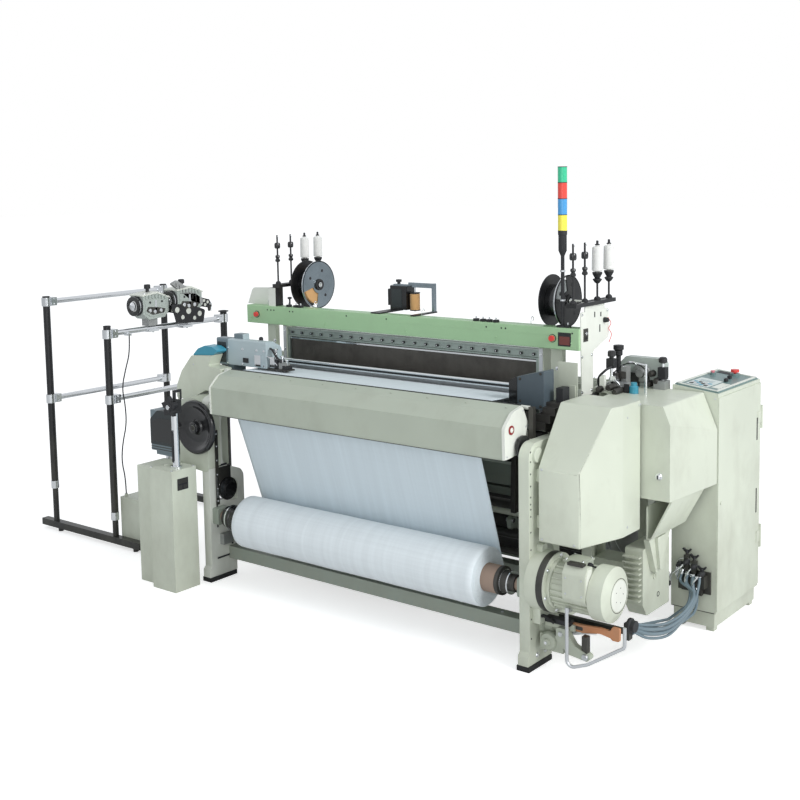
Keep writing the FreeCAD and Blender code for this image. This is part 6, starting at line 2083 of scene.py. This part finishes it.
@dataclass(frozen=True)
class Studio:
    """Camera at the photograph's viewing angle, soft lamps, white ground and sky."""

    eye: Point = (4.41881, -5.07530, 2.23332)
    turn: float = 38.4
    dip: float = 6.2
    roll: float = -1.0
    lens: float = 54.0
    sensor: float = 36.0
    shift: float = -0.11875

    def camera(self) -> None:
        """Sets the camera up."""
        turn, dip, roll = (math.radians(v) for v in (self.turn, self.dip, self.roll))
        ahead = Vector((-math.sin(turn) * math.cos(dip), math.cos(turn) * math.cos(dip),
                        -math.sin(dip)))
        level = Vector((math.cos(turn), math.sin(turn), 0))
        above = level.cross(ahead)
        right = level * math.cos(roll) + above * math.sin(roll)
        up = above * math.cos(roll) - level * math.sin(roll)
        data = bpy.data.cameras.new("camera")
        data.sensor_width = self.sensor
        data.lens = self.lens
        data.shift_y = self.shift
        data.clip_end = 100
        camera = bpy.data.objects.new("camera", data)
        matrix = Matrix((right, up, -ahead)).transposed().to_4x4()
        matrix.translation = Vector(self.eye)
        camera.matrix_world = matrix
        bpy.context.scene.collection.objects.link(camera)
        bpy.context.scene.camera = camera

    def lamp(self, name: str, place: Point, aim: Point, size: float, power: float) -> None:
        """Hangs one square area lamp.

        Args:
            name: The lamp's name.
            place: Where it hangs, in metres.
            aim: The point it shines at, in metres.
            size: Its side, in metres.
            power: Its strength in watts.
        """
        data = bpy.data.lights.new(name, "AREA")
        data.size = size
        data.energy = power
        lamp = bpy.data.objects.new(name, data)
        lamp.location = place
        lamp.rotation_euler = (Vector(aim) - Vector(place)).to_track_quat("-Z", "Y").to_euler()
        bpy.context.scene.collection.objects.link(lamp)

    def glow(self, tree: Tree, colour: Colour, strength: float) -> bpy.types.Node:
        """A background node of the world.

        Args:
            tree: The world's nodes.
            colour: Its colour.
            strength: Its strength, where 1 is as bright as the colour.

        Returns:
            The node.
        """
        node = tree.add("ShaderNodeBackground")
        node.inputs["Color"].default_value = (*colour, 1.0)
        node.inputs["Strength"].default_value = strength
        return node

    def sky(self) -> None:
        """A world that lights softly and is white to the camera and in reflections."""
        world = bpy.data.worlds.new("sky")
        world.use_nodes = True
        tree = Tree(world.node_tree)
        world.node_tree.nodes.clear()
        path = tree.add("ShaderNodeLightPath")
        seen = tree.math("MAXIMUM", path.outputs["Is Camera Ray"],
                         path.outputs["Is Transmission Ray"])
        soft = self.glow(tree, (0.93, 0.97, 1.0), 0.64)
        plain = self.glow(tree, (1.0, 1.0, 1.0), 1.0)
        shiny = self.glow(tree, (0.95, 0.97, 1.0), 0.8)
        gloss = tree.add("ShaderNodeMixShader")
        tree.link(path.outputs["Is Glossy Ray"], gloss.inputs[0])
        tree.link(soft.outputs[0], gloss.inputs[1])
        tree.link(shiny.outputs[0], gloss.inputs[2])
        last = tree.add("ShaderNodeMixShader")
        tree.link(seen, last.inputs[0])
        tree.link(gloss.outputs[0], last.inputs[1])
        tree.link(plain.outputs[0], last.inputs[2])
        output = tree.add("ShaderNodeOutputWorld")
        tree.link(last.outputs[0], output.inputs["Surface"])
        bpy.context.scene.world = world

    def floor(self) -> None:
        """A pale floor that keeps the machine's shadow and meets the white sky unseen."""
        mesh = bpy.data.meshes.new("floor")
        side = 60
        mesh.from_pydata([(-side, -side, 0), (side, -side, 0), (side, side, 0), (-side, side, 0)],
                         [], [(0, 1, 2, 3)])
        floor = bpy.data.objects.new("floor", mesh)
        floor.location.z = -0.0005
        bpy.context.scene.collection.objects.link(floor)
        material = bpy.data.materials.new("pale_floor")
        material.use_nodes = True
        tree = Tree(material.node_tree)
        material.node_tree.nodes.clear()
        shade = tree.add("ShaderNodeBsdfDiffuse")
        shade.inputs["Color"].default_value = (0.80, 0.80, 0.80, 1)
        lift = tree.add("ShaderNodeEmission")
        path = tree.add("ShaderNodeLightPath")
        tree.link(tree.math("MULTIPLY", path.outputs["Is Camera Ray"], 0.60),
                  lift.inputs["Strength"])
        both = tree.add("ShaderNodeAddShader")
        tree.link(shade.outputs[0], both.inputs[0])
        tree.link(lift.outputs[0], both.inputs[1])
        output = tree.add("ShaderNodeOutputMaterial")
        tree.link(both.outputs[0], output.inputs["Surface"])
        mesh.materials.append(material)

    def build(self) -> None:
        """Sets up camera, lamps, sky and floor."""
        self.camera()
        self.sky()
        self.floor()
        self.lamp("key", (13.0, -1.2, 7.0), (0.6, 0.0, 0.9), 5.0, 1000)
        self.lamp("front", (4.6, -7.0, 2.8), (0.4, 0.0, 0.8), 4.0, 92)
        self.lamp("left", (-6.5, -2.0, 4.0), (-1.5, 0.0, 0.8), 4.0, 14)
        bpy.context.scene.view_settings.view_transform = "Standard"


SOFTENED = (
    # The left frame takes the paler enamel instead of the right frame's cream, to lift it out of the
    # shade it stands in: painted light.
    Softened("left_side_frame", "cream_paint", WHITE, 2.0),
    Softened("right_side_frame", "cream_paint", CREAM, 2.0),
    Softened("foot_pads", "rubber", RUBBER, 2.0),
    # The cross beams take the darkened cream: painted shade on the same cream paint as the frames.
    Softened("cross_beams", "cream_paint", SHADED_CREAM, 2.0),
    Softened("breast_beam", "cream_paint", WHITE, 2.0,
             (Zone((-100, 60, 1040), (-50, 160, 1200), IRON),)),
    Softened("breast_cover", "sage_paint", SAGE, 0.8),
    Softened("top_beam", "green_paint", GREEN, 1.2),
    Softened("uprights", "cream_paint", CREAM, 1.5),
    Softened("yarn_brackets", "cream_paint", WHITE, 1.0,
             (Zone((-2090, 500, 1599), (-2010, 960, 1622), BLACK),
              Zone((-80, 420, 1599), (0, 860, 1622), BLACK))),
    Softened("roll_core", "brown_tube", TUBE, 1.0, body=Body.CLOTH_ROLL),
    Softened("take_up_roller", "rubber", RUBBER, 1.0, body=Body.TAKE_UP),
    Softened("warp_beam", "yarn", CAST, 1.0, body=Body.WARP),
    Softened("back_rest", "ground_steel", CREAM, 1.5),
    Softened("front_drive_cover", "cream_paint", CREAM, 4.0),
    Softened("rear_drive_cover", "cream_paint", CREAM, 2.5),
    Softened("clutch_housing", "cream_paint", CREAM, 2.0),
    Softened("drive_motor", "cream_paint", CREAM, 1.5),
    Softened("let_off_gearbox", "cream_paint", CREAM, 1.5),
    Softened("guard_hoop", "bright_steel", GROUND, 0.0),
    Softened("hoses", "hose", HOSE, 0.0,
             (Zone((-10, 180, 200), (420, 240, 330), BLACK),)),
    Softened("valve_block", "black_paint", BLACK, 1.0),
    Softened("valve_handle_1", "black_plastic", MATT, 1.0, body=Body.VALVE_1),
    Softened("valve_handle_2", "black_plastic", MATT, 1.0, body=Body.VALVE_2),
    Softened("valve_handle_3", "black_plastic", MATT, 1.0, body=Body.VALVE_3),
    Softened("cabinet", "cream_paint", CREAM, 2.0),
    Softened("cabinet_door", "cream_paint", CREAM, 1.5, body=Body.DOOR),
    Softened("control_panel", "panel_paint", PANEL, 1.0),
    Softened("e_stop", "red_plastic", RED, 1.0, body=Body.STOP),
    Softened("start_button", "pink_plastic", PINK, 0.8, body=Body.RUN),
    Softened("selector_knob_1", "black_plastic", MATT, 0.8, body=Body.SELECTOR_1),
    Softened("selector_knob_2", "black_plastic", MATT, 0.8, body=Body.SELECTOR_2),
    Softened("signal_pole", "black_plastic", MATT, 0.8),
    Softened("lens_yellow", "lens_yellow", LENS_YELLOW, 0.5),
    Softened("lens_blue", "lens_blue", LENS_BLUE, 0.5),
    Softened("lens_red", "lens_red", LENS_RED, 0.5),
    Softened("lens_green", "lens_green", LENS_GREEN, 0.5),
    Softened("yarn_stands", "black_paint", BLACK, 0.8,
             (Zone((-1245, 680, 1500), (-1000, 720, 1660), CHROME),)),
    Softened("handwheel_housing", "cream_paint", CREAM, 4.0),
    Softened("left_boxes", "cream_paint", CREAM, 2.0,
             (Zone((-2180, -200, 673), (-2120, -130, 1030), BRIGHT),
              Zone((-2200, -260, 960), (-2100, -130, 1200), MATT))),
    Softened("fender_cover", "cream_paint", CREAM, 2.5),
    Softened("blue_cap", "blue_plastic", BLUE, 2.0),
    Softened("rapier_housings", "slate_paint", SLATE, 2.0,
             (Zone((-2700, 0, 600), (-2300, 300, 960), SLATE),
              Zone((-2195, 200, 1180), (-1800, 340, 1345), PALE_SLATE),
              Zone((-266, 245, 1135), (-70, 345, 1330), DARK_SLATE),
              Zone((-140, 190, 1050), (0, 345, 1180), IRON))),
    Softened("creel_frame", "black_paint", BLACK, 1.0),
    Softened("creel_rails", "bright_steel", BRIGHT, 1.0),
    Softened("sley", "ground_steel", IRON, 1.5, body=Body.SLEY),
    Softened("beam_button_left", "orange_plastic", RED, 0.8, body=Body.BUTTON_LEFT),
    Softened("beam_button_right", "orange_plastic", RED, 0.8, body=Body.BUTTON_RIGHT),
)


def main() -> None:
    """Builds the studio and dresses the machine, one sub-assembly after another."""
    logging.basicConfig(level=logging.INFO, format="%(message)s")
    Studio().build()
    FeederCable().build()
    for piece in SOFTENED:
        piece.build()
    for assembly in (
            ClothRun(), WoundRoll(), Cone(), WarpWinding(),
            HealdFrame("heald_frame_front", Body.HEALDS_FRONT, 552.0, True),
            HealdFrame("heald_frame_rear", Body.HEALDS_REAR, 590.0, False),
            Reed(), DropWires(), TopBeamFittings(), HealdDrive(),
            YarnReel("left_reel", Body.REEL_LEFT, -1884, -1, 730, 138, CHROME, TAN_YARN),
            YarnReel("right_reel", Body.REEL_RIGHT, -176, -1, 650, 128, BLACK, GREY_YARN,
                     open_from=100, open_to=170),
            YarnStandDetails(), WeftFeeders(), CreelFittings(), DriveDetails(), LowerDrive(),
            InnerWorks(), StartLever(), BeatUpBar(), AirSupply(), CabinetDetails(), PanelFace(),
            SelvedgeUnit(), EndPanelDetails(),
            BreastDetails(), FrameDetails(), LeftDetails(), RapierDetails(), CoverTrim(),
    ):
        assembly.build()


if __name__ == "__main__":
    main()
